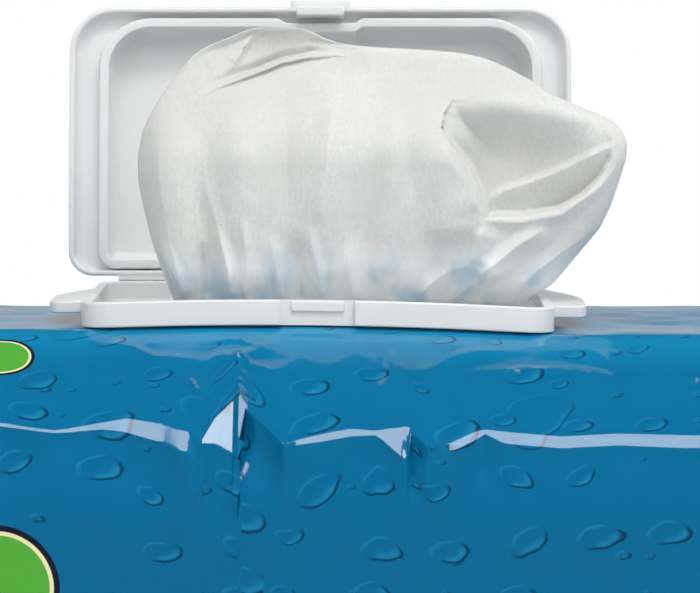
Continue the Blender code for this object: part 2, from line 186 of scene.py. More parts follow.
def path_distance(u, v, path):
    """Distance from each (u, v) to a polyline, how far along it the nearest point is, and on
    which side the point lies: positive on the left."""
    best = np.full(u.shape, 1e9)
    along = np.zeros(u.shape)
    side = np.zeros(u.shape)
    points = np.array(path, float)
    lengths = np.hypot(*np.diff(points, axis=0).T)
    total = lengths.sum()
    before = 0.0
    for start, end, length in zip(points, points[1:], lengths):
        direction = (end - start) / length
        du = u - start[0]
        dv = v - start[1]
        t = np.clip(du * direction[0] + dv * direction[1], 0, length)
        d = np.hypot(du - t * direction[0], dv - t * direction[1])
        nearer = d < best
        best = np.where(nearer, d, best)
        along = np.where(nearer, (before + t) / total, along)
        side = np.where(nearer, direction[0] * dv - direction[1] * du, side)
        before += length
    return best, along, side


# Mesh helpers
def mesh_object(name, vertices, faces, smooth_angle=None):
    mesh = bpy.data.meshes.new(name)
    mesh.from_pydata([tuple(v) for v in vertices], [], faces)
    mesh.update()
    mesh.shade_smooth()
    if smooth_angle:
        mesh.set_sharp_from_angle(angle=math.radians(smooth_angle))
    obj = bpy.data.objects.new(name, mesh)
    bpy.context.scene.collection.objects.link(obj)
    return obj


def loft(name, loops, ring=False, ends=True):
    """Skin of quads through loops of equal length, closed by end faces or into a ring."""
    count = len(loops[0])
    vertices = [point for loop in loops for point in loop]
    faces = []
    spans = len(loops) if ring else len(loops) - 1
    for row in range(spans):
        low = row * count
        high = (row + 1) % len(loops) * count
        for i in range(count):
            j = (i + 1) % count
            faces.append((low + i, low + j, high + j, high + i))
    if ends and not ring:
        faces.append(tuple(range(count)))
        faces.append(tuple(range(len(vertices) - count, len(vertices))))
    obj = mesh_object(name, vertices, faces)
    bm = bmesh.new()
    bm.from_mesh(obj.data)
    bmesh.ops.recalc_face_normals(bm, faces=bm.faces)
    bm.to_mesh(obj.data)
    bm.free()
    return obj


def prism(name, outline, low, high, bend=None):
    drop = bend or (lambda x, y: 0.0)
    return loft(name, [[(x, y, level - drop(x, y)) for x, y in outline] for level in (low, high)])


def bar(name, outline, left, right):
    return loft(name, [[(x, y, z) for y, z in outline] for x in (left, right)])


def apply_modifiers(obj):
    """Replaces the object's mesh by what its modifiers make of it."""
    graph = bpy.context.evaluated_depsgraph_get()
    mesh = bpy.data.meshes.new_from_object(obj.evaluated_get(graph))
    obj.modifiers.clear()
    obj.data = mesh


def combine(obj, tool, operation):
    modifier = obj.modifiers.new(tool.name, "BOOLEAN")
    modifier.operation = operation
    modifier.solver = "EXACT"
    modifier.object = tool
    bpy.context.view_layer.update()
    apply_modifiers(obj)
    bpy.data.objects.remove(tool)


def round_edges(obj, width, segments=3, angle=32):
    """Rounds a piece's edges, before it is joined to others: their short edges would stop it."""
    modifier = obj.modifiers.new("rounding", "BEVEL")
    modifier.width = width
    modifier.segments = segments
    modifier.limit_method = "ANGLE"
    modifier.angle_limit = math.radians(angle)
    bpy.context.view_layer.update()
    apply_modifiers(obj)
    return obj


def smooth_moulding(obj):
    """Splits the many-sided faces that the joins made and takes out their slivers, then shades the
    mesh smooth, with its wide faces kept flat."""
    bm = bmesh.new()
    bm.from_mesh(obj.data)
    bmesh.ops.triangulate(bm, faces=[face for face in bm.faces if len(face.verts) > 4])
    bmesh.ops.dissolve_degenerate(bm, edges=bm.edges, dist=SLIVER)
    bm.to_mesh(obj.data)
    bm.free()
    obj.data.shade_smooth()
    obj.data.set_sharp_from_angle(angle=math.radians(50))
    modifier = obj.modifiers.new("normals", "WEIGHTED_NORMAL")
    modifier.keep_sharp = True
    bpy.context.view_layer.update()
    apply_modifiers(obj)


# Outlines in plan
def arc(centre, radius, start, steps=CORNER_STEPS):
    angles = [math.radians(start + 90 * i / steps) for i in range(steps + 1)]
    return [(centre[0] + radius * math.cos(a), centre[1] + radius * math.sin(a)) for a in angles]


def block_outline(left, right, front, rear):
    return [(left, front), (right, front), (right, rear), (left, rear)]


def latch_jog(x, depth):
    return depth * (1 - float(smooth_step((abs(x) - LATCH_WIDTH / 2) / LATCH_RAMP)))


def rounded_outline(half_width, front, rear, front_radius, rear_radius, jog=0.0):
    """Rounded rectangle about the closure's middle, anticlockwise, with points along its long sides."""
    latch = LATCH_WIDTH / 2
    marks = [latch / 2, latch] + [latch + LATCH_RAMP * t for t in (0.25, 0.5, 0.75, 1)]
    marks += [0.0135, 0.018, 0.0225, 0.027, 0.031]
    marks = [-m for m in reversed(marks)] + [0.0] + marks
    span = rear - front - front_radius - rear_radius
    side = [front + front_radius + span * t for t in (0.125, 0.25, 0.375, 0.5, 0.625, 0.75, 0.875)]
    x_front = half_width - front_radius
    x_rear = half_width - rear_radius
    points = [(x, front + latch_jog(x, jog)) for x in marks]
    points += arc((x_front, front + front_radius), front_radius, 270)
    points += [(half_width, y) for y in side]
    points += arc((x_rear, rear - rear_radius), rear_radius, 0)
    points += [(x, rear) for x in reversed(marks)]
    points += arc((-x_rear, rear - rear_radius), rear_radius, 90)
    points += [(-half_width, y) for y in reversed(side)]
    points += arc((-x_front, front + front_radius), front_radius, 180)
    return points


def at_closure(outline):
    return [(CLOSURE_X + x, y) for x, y in outline]


def opening_outline(margin=0.0):
    half_depth = OPENING_DEPTH / 2 + margin
    radius = OPENING_RADIUS + margin
    return rounded_outline(OPENING_WIDTH / 2 + margin, -half_depth, half_depth, radius, radius)


def collar_outline(inset):
    half_depth = COLLAR_DEPTH / 2 - inset
    radius = COLLAR_RADIUS - inset
    return rounded_outline(COLLAR_WIDTH / 2 - inset, -half_depth, half_depth, radius, radius)


# Node helpers
class Shader:
    """A material's node tree, with short calls to add nodes and join sockets."""

    def __init__(self, name):
        self.material = bpy.data.materials.new(name)
        self.material.use_nodes = True
        self.tree = self.material.node_tree
        self.surface = self.tree.nodes["Principled BSDF"]

    def add(self, kind, **settings):
        node = self.tree.nodes.new(kind)
        for key, value in settings.items():
            setattr(node, key, value)
        return node

    def join(self, source, target):
        self.tree.links.new(source, target)

    def put(self, target, value):
        if isinstance(value, bpy.types.NodeSocket):
            self.join(value, target)
        else:
            target.default_value = value

    def math(self, operation, a, b=0.0, c=0.0, clamp=False):
        node = self.add("ShaderNodeMath", operation=operation, use_clamp=clamp)
        for socket, value in zip(node.inputs, (a, b, c)):
            self.put(socket, value)
        return node.outputs[0]

    def vector(self, operation, a, b=(0, 0, 0), value=False):
        node = self.add("ShaderNodeVectorMath", operation=operation)
        self.put(node.inputs[0], a)
        self.put(node.inputs[1], b)
        return node.outputs["Value" if value else "Vector"]

    def smooth(self, value, low, high):
        """0 below low and 1 above high, smoothly between."""
        node = self.add("ShaderNodeMapRange", interpolation_type="SMOOTHSTEP")
        self.put(node.inputs["Value"], value)
        self.put(node.inputs["From Min"], low)
        self.put(node.inputs["From Max"], high)
        return node.outputs["Result"]

    def mix(self, share, a, b):
        node = self.add("ShaderNodeMix", data_type="RGBA")
        self.put(node.inputs[0], share)
        self.put(node.inputs[6], a)
        self.put(node.inputs[7], b)
        return node.outputs[2]

    def noise(self, coordinates, scale, detail=3.0, roughness=0.5):
        node = self.add("ShaderNodeTexNoise")
        self.join(coordinates, node.inputs["Vector"])
        node.inputs["Scale"].default_value = scale
        node.inputs["Detail"].default_value = detail
        node.inputs["Roughness"].default_value = roughness
        return node.outputs["Fac"]

    def bump(self, height, strength, distance):
        node = self.add("ShaderNodeBump")
        self.join(height, node.inputs["Height"])
        node.inputs["Strength"].default_value = strength
        node.inputs["Distance"].default_value = distance
        return node.outputs["Normal"]

    def set(self, name, value):
        self.put(self.surface.inputs[name], value)


def object_coordinates(shader):
    return shader.add("ShaderNodeTexCoord").outputs["Object"]


# Materials
# Film colours: the bright blue is painted light on the top of the film; the deep blue is both random deeper
# tone and painted shade down its front
FILM_PAINTED_LIGHT = linear(8, 131, 176)
FILM_BLUE = linear(5, 108, 152)
FILM_DEEP_AND_PAINTED_SHADE = linear(6, 103, 147)
DROP_LIGHT = linear(36, 142, 186)
DROP_DARK = linear(4, 88, 134)
DROP_LINE = linear(4, 44, 72)
BADGE_GREEN = linear(84, 168, 60)
BADGE_CREAM = linear(232, 226, 176)
BADGE_NAVY = linear(22, 28, 48)


def drops(shader, flat, cell, smallest, largest, presence, strength, colour):
    """Lays a layer of printed water drops over a colour. Each is a tilted, uneven oval with a
    thin dark line round its lower right, a pale one inside that, and a faintly darker body."""
    grid = shader.vector("MULTIPLY", flat, (1 / cell, 1.15 / cell, 0))
    cells = shader.add("ShaderNodeTexVoronoi", voronoi_dimensions="2D", feature="F1")
    cells.inputs["Scale"].default_value = 1.0
    cells.inputs["Randomness"].default_value = 0.6
    shader.join(grid, cells.inputs["Vector"])
    chance = shader.add("ShaderNodeSeparateColor")
    shader.join(cells.outputs["Color"], chance.inputs[0])
    local = shader.vector("SUBTRACT", grid, cells.outputs["Position"])
    turn = shader.add("ShaderNodeVectorRotate", rotation_type="Z_AXIS")
    shader.join(local, turn.inputs["Vector"])
    shader.join(shader.math("MULTIPLY_ADD", chance.outputs[2], 1.5, -0.9), turn.inputs["Angle"])
    oval = shader.vector("MULTIPLY", turn.outputs[0], (0.78, 1.22, 0))
    wobble = shader.noise(grid, 2.6, 1.0)
    reach = shader.math("MULTIPLY_ADD", chance.outputs[0], (largest - smallest) / cell, smallest / cell)
    away = shader.vector("LENGTH", oval, value=True)
    share = shader.math("DIVIDE", away, reach)
    share = shader.math("ADD", share, shader.math("MULTIPLY_ADD", wobble, 0.7, -0.35))
    here = shader.math("MULTIPLY", shader.math("LESS_THAN", chance.outputs[1], presence), strength)
    lean = shader.vector("NORMALIZE", local)
    lean = shader.vector("DOT_PRODUCT", lean, (0.66, -0.75, 0), value=True)
    line = 0.00045 / ((smallest + largest) / 2)
    inside = shader.math("SUBTRACT", 1.0, shader.smooth(share, 1.0, 1.0 + line / 2))
    edge = shader.math("MULTIPLY", shader.smooth(share, 1.0 - 1.6 * line, 1.0 - 0.3 * line), inside)
    dark = shader.math("MULTIPLY", shader.math("MULTIPLY", edge, shader.smooth(lean, -0.15, 0.55)), here)
    band = shader.math("SUBTRACT", shader.smooth(share, 1 - 5 * line, 1 - 2.2 * line), edge, clamp=True)
    pale = shader.math("MULTIPLY", shader.math("MULTIPLY", band, inside), shader.smooth(lean, 0.1, 0.8))
    body = shader.math("MULTIPLY", shader.math("MULTIPLY", inside, shader.smooth(lean, 0.9, -0.8)), here)
    far = shader.math("MULTIPLY", shader.math("MULTIPLY", edge, shader.smooth(lean, -0.2, -0.8)), here)
    colour = shader.mix(shader.math("MULTIPLY", body, 0.22), colour, DROP_DARK)
    pale = shader.math("MULTIPLY", pale, here)
    colour = shader.mix(shader.math("MULTIPLY", pale, 0.40), colour, DROP_LIGHT)
    colour = shader.mix(shader.math("MULTIPLY", far, 0.35), colour, DROP_LIGHT)
    return shader.mix(shader.math("MULTIPLY", dark, 0.80), colour, DROP_LINE)


def badge(shader, flat, centre, radius, colour):
    """Blank round badge: a green disc in a cream ring in a navy ring."""
    away = shader.vector("DISTANCE", flat, (centre[0], centre[1], 0), value=True)
    for edge, paint in ((1.0, BADGE_NAVY), (0.90, BADGE_CREAM), (0.83, BADGE_GREEN)):
        inside = shader.math("SUBTRACT", 1.0, shader.smooth(away, radius * edge - 0.0002, radius * edge))
        colour = shader.mix(inside, colour, paint)
    return colour


def film_material(badges):
    shader = Shader("printed_film")
    flat = shader.add("ShaderNodeUVMap", uv_map="flat").outputs["UV"]
    parts = shader.add("ShaderNodeSeparateXYZ")
    shader.join(flat, parts.inputs[0])
    # Painted light and shade: the film is coloured lighter towards its top and darker down its front, as the
    # light from above falls; the cloud then mixes in deeper tone at random
    down = shader.math("MULTIPLY", shader.math("ABSOLUTE", parts.outputs["Y"]), -1.0)
    colour = shader.mix(shader.smooth(down, -0.075, -0.052), FILM_DEEP_AND_PAINTED_SHADE, FILM_BLUE)
    colour = shader.mix(shader.smooth(down, -0.046, -0.030), colour, FILM_PAINTED_LIGHT)
    cloud = shader.noise(flat, 60.0)
    colour = shader.mix(shader.math("MULTIPLY", shader.smooth(cloud, 0.4, 0.75), 0.35), colour, FILM_DEEP_AND_PAINTED_SHADE)
    colour = drops(shader, flat, 0.0085, 0.0006, 0.0013, 0.22, 0.8, colour)
    colour = drops(shader, flat, 0.0340, 0.0060, 0.0090, 0.45, 0.7, colour)
    colour = drops(shader, flat, 0.0145, 0.0018, 0.0040, 0.80, 1.0, colour)
    for centre, radius in badges:
        colour = badge(shader, flat, centre, radius, colour)
    shader.set("Base Color", colour)
    shader.set("Roughness", 0.09)
    shader.set("Specular IOR Level", 0.5)
    ripple = shader.noise(object_coordinates(shader), 160.0, 3.0, 0.5)
    shader.set("Normal", shader.bump(ripple, 0.10, 0.0004))
    return shader.material


def closure_material():
    shader = Shader("moulded_plastic")
    place = object_coordinates(shader)
    mottle = shader.noise(place, 35.0)
    shader.set("Base Color", shader.mix(mottle, linear(231, 232, 232), linear(226, 227, 227)))
    grain = shader.noise(place, 2600.0, 2.0)
    shader.set("Roughness", shader.math("MULTIPLY_ADD", mottle, 0.08, 0.34))
    shader.set("Normal", shader.bump(grain, 0.06, 0.0002))
    shader.set("Subsurface Weight", 0.12)
    shader.set("Subsurface Radius", (0.004, 0.004, 0.004))
    shader.set("Subsurface Scale", 0.5)
    return shader.material


def cloth_material(name, tint, painted_light_below=None):
    """Damp non-woven cloth. Near the film it is painted paler, as painted light, and in patches painted
    blue, as painted shade and painted reflection of the film's blue.
    """
    shader = Shader(name)
    place = object_coordinates(shader)
    fibres = shader.noise(place, 1300.0, 6.0, 0.7)
    stretched = shader.vector("MULTIPLY", place, (1500.0, 1500.0, 450.0))
    strands = shader.noise(stretched, 1.0, 4.0, 0.6)
    weave = shader.math("ADD", shader.math("MULTIPLY", fibres, 0.6), shader.math("MULTIPLY", strands, 0.4))
    damp = shader.noise(place, 45.0, 3.0)
    light = linear(*tint)
    shade = linear(*(value - 10 for value in tint))
    colour = shader.mix(shader.smooth(damp, 0.35, 0.7), light, shade)
    thin = shader.math("MULTIPLY", shader.smooth(weave, 0.42, 0.60), 0.5)
    colour = shader.mix(thin, colour, linear(*(value - 18 for value in tint)))
    if painted_light_below:
        # Painted light: below this level the cloth is painted paler, and painted blue in patches for the
        # shade and the film's blue reflected on it
        parts = shader.add("ShaderNodeSeparateXYZ")
        shader.join(place, parts.inputs[0])
        blue_shade_patches = shader.noise(shader.vector("MULTIPLY", place, (1.0, 1.0, 0.4)), 150.0, 2.0)
        low = shader.smooth(parts.outputs["Z"], painted_light_below, painted_light_below - 0.012)
        colour = shader.mix(shader.math("MULTIPLY", low, 0.8), colour, linear(236, 241, 244))
        share = shader.math("MULTIPLY", low, shader.smooth(blue_shade_patches, 0.42, 0.68))
        colour = shader.mix(shader.math("MULTIPLY", share, 0.55), colour, linear(128, 180, 210))
    shader.set("Base Color", colour)
    shader.set("Roughness", 0.82)
    shader.set("Normal", shader.bump(weave, 0.35, 0.0004))
    shader.set("Sheen Weight", 0.15)
    shader.set("Sheen Roughness", 0.5)
    shader.set("Subsurface Weight", 0.25)
    shader.set("Subsurface Radius", (0.006, 0.006, 0.006))
    shader.set("Subsurface Scale", 0.5)
    return shader.material


# Film
PLATEAU_REACH = COLLAR_DEPTH / 2 - PLATEAU_MARGIN
SHOULDER_REACH = PACK_DEPTH / 2 - CREASE_SETBACK
SHOULDER_RUN = PLATEAU_REACH + math.hypot(SHOULDER_REACH - PLATEAU_REACH, SHOULDER_DROP)
FRONT_RUN = SHOULDER_RUN + PACK_HEIGHT - SHOULDER_DROP - BASE_ROUND
BASE_RUN = FRONT_RUN + math.pi / 2 * BASE_ROUND
HALF_RUN = BASE_RUN + PACK_DEPTH / 2 - BASE_ROUND

# Upper and lower edge of the bevel along the front crease, as the photograph shows them: a pixel
# column, then a pixel row for each
CREASE_EDGES = (
    (-60, 421, 425), (0, 420, 424), (52, 428, 431), (100, 421, 428), (125, 417, 431), (160, 423, 441),
    (190, 433, 454), (198, 440, 465), (202, 440, 444), (215, 417, 443), (232, 399, 451), (238, 399, 457),
    (241, 402, 406), (262, 421, 425), (287, 445, 449), (300, 440, 446), (325, 434, 442), (350, 429, 437),
    (376, 430, 435), (384, 428, 440), (408, 424, 458), (411, 426, 430), (432, 447, 451), (455, 438, 447),
    (475, 428, 437), (486, 425, 430), (505, 426, 438), (560, 428, 440), (620, 425, 437), (680, 426, 439),
    (760, 428, 440),
)
PLAIN_EDGES = (424, 431)
BEVEL_SLOPE = math.tan(math.radians(52))
CREASE_DEPTH = -0.057


def shoulder_level(reach):
    """Level of the film above the crease, by its distance in front of or behind the middle."""
    share = np.clip((reach - PLATEAU_REACH) / (SHOULDER_REACH - PLATEAU_REACH), 0, None)
    return PACK_HEIGHT - SHOULDER_DROP * share ** SHOULDER_BEND


def level_at_row(row, y):
    return EYE.z - (row - EYE_ROW) * (y - EYE.y) / FOCAL


def on_film(column, row):
    """Print coordinates shown at a pixel: x, and the distance round from the top centre, which is
    negative at the front."""
    reach = np.linspace(PLATEAU_REACH, SHOULDER_REACH, 200)
    rows = EYE_ROW + FOCAL * (EYE.z - shoulder_level(reach)) / (-reach - EYE.y)
    if row <= rows[-1]:
        y = -float(np.interp(row, rows, reach))
        share = (-y - PLATEAU_REACH) / (SHOULDER_REACH - PLATEAU_REACH)
        run = PLATEAU_REACH + share * (SHOULDER_RUN - PLATEAU_REACH)
    else:
        y = -PACK_DEPTH / 2
        run = SHOULDER_RUN + PACK_HEIGHT - SHOULDER_DROP - level_at_row(row, y)
    return (column - MIDDLE_COLUMN) * (y - EYE.y) / FOCAL, -run


def bevel_rows(x, front):
    """Pixel rows of the bevel's upper and lower edge at each x."""
    columns = MIDDLE_COLUMN + x * FOCAL / (CREASE_DEPTH - EYE.y)
    table = np.array(CREASE_EDGES, float)
    if front:
        upper = np.interp(columns, table[:, 0], table[:, 1])
        lower = np.interp(columns, table[:, 0], table[:, 2])
        out = smooth_step((np.abs(x) - 0.080) / 0.012)
        return upper * (1 - out) + PLAIN_EDGES[0] * out, lower * (1 - out) + PLAIN_EDGES[1] * out
    wander = 9 * value_noise(x + 0.3, x * 0, 0.016, 5) + 4 * value_noise(x + 0.3, x * 0, 0.007, 6)
    width = 6 + 5 * value_noise(x + 0.3, x * 0, 0.012, 7)
    return 430 + wander, 430 + wander + width


def half_columns(x, front, counts):
    """Depth from the middle, level and printed run for one half of every column of the film.
    counts gives the points on the plateau, shoulder, bevel, front and base."""
    upper, lower = bevel_rows(x, front)
    reach = np.linspace(0.040, 0.0625, 400)
    rows = EYE_ROW + FOCAL * (EYE.z - shoulder_level(reach)) / (-reach - EYE.y)
    top = np.interp(upper, rows, reach)
    top_level = shoulder_level(top)
    fall = (lower - upper) * (0.680 - top) / FOCAL
    foot = np.minimum(top + fall / BEVEL_SLOPE, PACK_DEPTH / 2 - 0.0003)
    foot_level = top_level - fall
    flat, shoulder, bevel, wall, base = counts
    y, z, run = [], [], []

    def add(reach_now, level_now, run_now):
        y.append(reach_now + 0 * x)
        z.append(level_now + 0 * x)
        run.append(run_now + 0 * x)

    for t in np.linspace(0, 1, flat, endpoint=False):
        add(PLATEAU_REACH * t, PACK_HEIGHT, PLATEAU_REACH * t)
    for t in np.sin(np.linspace(0, math.pi / 2, shoulder, endpoint=False)):
        here = PLATEAU_REACH + (top - PLATEAU_REACH) * t
        add(here, shoulder_level(here), PLATEAU_REACH + (SHOULDER_RUN - PLATEAU_REACH) * 0.985 * t)
    for t in np.linspace(0, 1, bevel, endpoint=False):
        near = SHOULDER_RUN - 0.015 * (SHOULDER_RUN - PLATEAU_REACH) * (1 - t)
        add(top + (foot - top) * t, top_level + (foot_level - top_level) * t, near)
    for t in 1 - np.cos(np.linspace(0, math.pi / 2, wall, endpoint=False)):
        swell = foot + (PACK_DEPTH / 2 - foot) * smooth_step(t / 0.34)
        add(swell, foot_level + (BASE_ROUND - foot_level) * t, SHOULDER_RUN + (FRONT_RUN - SHOULDER_RUN) * t)
    for turn in np.linspace(0, math.pi / 2, base):
        depth = PACK_DEPTH / 2 - BASE_ROUND * (1 - math.cos(turn))
        add(depth, BASE_ROUND * (1 - math.sin(turn)), FRONT_RUN + BASE_ROUND * turn)
    for share in (0.75, 0.5, 0.25, 0.0):
        add((PACK_DEPTH / 2 - BASE_ROUND) * share, 0.0, HALF_RUN - (PACK_DEPTH / 2 - BASE_ROUND) * share)
    return np.array(y), np.array(z), np.array(run)


# Slighter folds of the film: pixel path, height and half width in metres
FILM_FOLDS = (
    (((238, 405), (239, 440), (237, 458), (230, 485), (221, 514)), 0.0013, 0.0016),
    (((250, 420), (256, 450), (250, 490), (240, 530)), 0.0005, 0.0030),
    (((200, 452), (186, 490), (168, 535)), 0.0009, 0.0032),
    (((190, 380), (193, 386), (198, 392)), 0.0006, 0.0012),
    (((228, 396), (234, 372), (262, 352), (268, 338)), 0.0006, 0.0024),
    (((262, 352), (240, 346), (215, 340)), 0.0004, 0.0016),
    (((100, 333), (128, 350), (150, 361), (215, 359), (250, 376), (272, 372), (300, 356)), 0.0005, 0.0026),
    (((372, 400), (392, 380), (392, 360), (384, 345)), 0.0005, 0.0024),
    (((410, 372), (450, 352), (520, 345)), 0.0004, 0.0020),
    (((470, 372), (560, 362), (622, 371), (608, 350), (585, 338)), 0.0006, 0.0022),
    (((600, 338), (640, 352), (690, 372), (740, 378)), 0.0005, 0.0022),
    (((412, 460), (440, 490), (456, 530)), 0.0004, 0.0034),
    (((50, 431), (45, 470), (30, 520)), 0.0004, 0.0030),
    (((500, 440), (520, 480), (530, 540)), 0.0003, 0.0036),
    (((615, 440), (625, 480), (610, 540)), 0.0003, 0.0036),
)


def fold_lift(x, run, front):
    """How far small folds and ripples raise the film."""
    lift = np.zeros(x.shape)
    if front:
        for path, height, width in FILM_FOLDS:
            away, along, _ = path_distance(x, -run, [on_film(*pixel) for pixel in path])
            taper = smooth_step(along / 0.25) * smooth_step((1 - along) / 0.25)
            lift += height * np.clip(1 - away / width, 0, 1) ** 1.2 * (0.25 + 0.75 * taper)
    shift = 0.5 if front else 0.9
    wave = 0.00030 * value_noise(x + shift, run * 1.3 + shift, 0.019, 11)
    wave += 0.00014 * value_noise(x + shift, run * 1.6 + shift, 0.0085, 12)
    clear = smooth_step((run - COLLAR_DEPTH / 2 - 0.001) / 0.006)
    outside = smooth_step((np.abs(x - CLOSURE_X) - COLLAR_WIDTH / 2 - EAR_REACH) / 0.008)
    return (lift + wave) * np.maximum(clear, outside)


def film_columns():
    """x, openness and width share of each column of the film, from seal to seal."""
    half = PACK_LENGTH / 2
    seal = np.linspace(half + SEAL_LENGTH, half + 0.0002, 22)
    fold = half - END_FOLD * (1 - np.linspace(1, 0, 30) ** 0.5)
    middle = np.arange(half - END_FOLD - 0.0008, 0.034, -0.0008)
    right = np.concatenate([seal, fold, middle])
    fine = np.arange(0.034, -0.034, -0.0005)
    x = np.sort(np.concatenate([-right, fine, right]))
    share = np.clip((np.abs(x) - half + END_FOLD) / END_FOLD, 0, 1)
    openness = np.maximum((1 - share ** 5) ** 0.38, SEAL_OPENNESS)
    return x, openness, 1 - (1 - SEAL_WIDTH_SHARE) * share


def print_along(x, points):
    """Print coordinate along the pack: x on its body, and the way over the film on its ends."""
    steps = np.linalg.norm(np.diff(points, axis=1), axis=-1)
    way = np.pad(np.cumsum(steps, axis=1), ((0, 0), (1, 0)))
    along = np.repeat(x[None], len(points), axis=0)
    body = PACK_LENGTH / 2 - END_FOLD
    left = np.searchsorted(x, -body)
    right = np.searchsorted(x, body)
    along[:, :left] = x[left] - (way[:, left, None] - way[:, :left])
    along[:, right:] = x[right] + (way[:, right:] - way[:, right, None])
    return along


def make_film():
    """The whole pouch: bevelled and folded body, gathered ends, crimped seals, cut opening."""
    x, openness, width = film_columns()
    y_front, z_front, run_front = half_columns(x, True, (12, 48, 9, 50, 9))
    y_rear, z_rear, run_rear = half_columns(x, False, (12, 26, 4, 26, 9))
    y_row = np.concatenate([-y_front, y_rear[1:-1][::-1]])
    z_row = np.concatenate([z_front, z_rear[1:-1][::-1]])
    run_row = np.concatenate([run_front, run_rear[1:-1][::-1]])
    seam = len(y_front) - 1
    rows = len(y_row)
    for _ in range(2):
        soft = [(np.roll(a, 1, 0) + 2 * a + np.roll(a, -1, 0)) / 4 for a in (y_row, z_row)]
        keep = (run_row < PLATEAU_REACH + 0.002) | (run_row > FRONT_RUN - 0.006)
        y_row = np.where(keep, y_row, soft[0])
        z_row = np.where(keep, z_row, soft[1])
    X = np.broadcast_to(x, y_row.shape)
    front_rows = np.arange(rows)[:, None] <= seam
    level = SEAL_LEVEL + (z_row - SEAL_LEVEL) * openness
    y = y_row * width
    upper = smooth_step((level - SEAL_LEVEL) / (PACK_HEIGHT - SHOULDER_DROP - SEAL_LEVEL))
    level = level - bow(X, y) * upper * openness
    points = np.stack([X, y, level], -1)
    print_x = print_along(x, points)

    across = np.gradient(points, axis=1)
    round_ = np.roll(points, -1, axis=0) - np.roll(points, 1, axis=0)
    normal = np.cross(round_, across)
    normal /= np.maximum(np.linalg.norm(normal, axis=-1, keepdims=True), 1e-12)
    outward = np.sign(np.sum(normal * (points - np.array([0, 0, SEAL_LEVEL])), axis=-1, keepdims=True))
    normal *= np.where(outward == 0, 1, outward)

    lift = np.where(front_rows, fold_lift(X, run_row, True), fold_lift(X, run_row, False))
    body = smooth_step((openness - 0.08) / 0.4)
    above_base = smooth_step((level - 0.0015) / 0.006)
    half = PACK_LENGTH / 2
    near_end = smooth_step((np.abs(x) - half + 1.9 * END_FOLD) / (1.6 * END_FOLD))
    side = np.sign(x) * 0.4
    pleat = 0.9 * value_noise(y_row + 0.6 + side, level * 0.35 + 0.3, 0.0105, 31)
    pleat += 0.55 * value_noise(y_row + 0.6 + side, level * 0.5 + 0.3, 0.0048, 32)
    sharp = np.sign(pleat) * np.abs(pleat) ** 0.8
    lift = (lift + 0.0011 * near_end * sharp) * body * above_base
    points += normal * lift[..., None]
    beyond = np.clip((np.abs(x) - half) / SEAL_LENGTH, 0, 1)
    crimp = 0.00020 * np.sin(2 * math.pi * (np.abs(x) - half) / 0.0012) * (np.abs(x) > half + 0.001)
    points[..., 2] += crimp - 0.0045 * beyond ** 1.5 + 0.0016 * np.sin(y_row * 75 + np.sign(x)) * beyond

    vertices = points.transpose(1, 0, 2).reshape(-1, 3)
    print_y = np.where(front_rows, -run_row, run_row)
    faces = []
    flats = []
    for i in range(len(x) - 1):
        for j in range(rows):
            k = (j + 1) % rows
            on_top = z_row[j, i] == PACK_HEIGHT and z_row[k, i] == PACK_HEIGHT
            middle_x = abs((x[i] + x[i + 1]) / 2 - CLOSURE_X)
            middle_y = abs(y_row[j, i] + y_row[k, i]) / 2
            inside = middle_x < OPENING_WIDTH / 2 + FILM_CUT_MARGIN
            if on_top and inside and middle_y < OPENING_DEPTH / 2 + FILM_CUT_MARGIN:
                continue
            faces.append((i * rows + j, (i + 1) * rows + j, (i + 1) * rows + k, i * rows + k))
            low = (HALF_RUN, HALF_RUN) if j == seam else (print_y[j, i], print_y[j, i + 1])
            high = (print_y[k, i], print_y[k, i + 1])
            flats += [(print_x[j, i], low[0]), (print_x[j, i + 1], low[1])]
            flats += [(print_x[k, i + 1], high[1]), (print_x[k, i], high[0])]
    film = mesh_object("film_skin", vertices, faces)
    layer = film.data.uv_layers.new(name="flat")
    layer.data.foreach_set("uv", np.array(flats, np.float32).ravel())
    bm = bmesh.new()
    bm.from_mesh(film.data)
    for column in (0, len(x) - 1):
        bm.verts.ensure_lookup_table()
        bm.faces.new([bm.verts[column * rows + j] for j in range(rows)])
    bmesh.ops.delete(bm, geom=[v for v in bm.verts if not v.link_faces], context="VERTS")
    bmesh.ops.recalc_face_normals(bm, faces=bm.faces)
    bm.to_mesh(film.data)
    bm.free()
    film.data.shade_smooth()
    film.data.set_sharp_from_angle(angle=math.radians(24))
    badges = ((on_film(-2, 356), 0.0074), (on_film(-3, 592), 0.0122))
    film.data.materials.append(film_material(badges))
    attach(film, "pack")
    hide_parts("film_pouch")
    return film


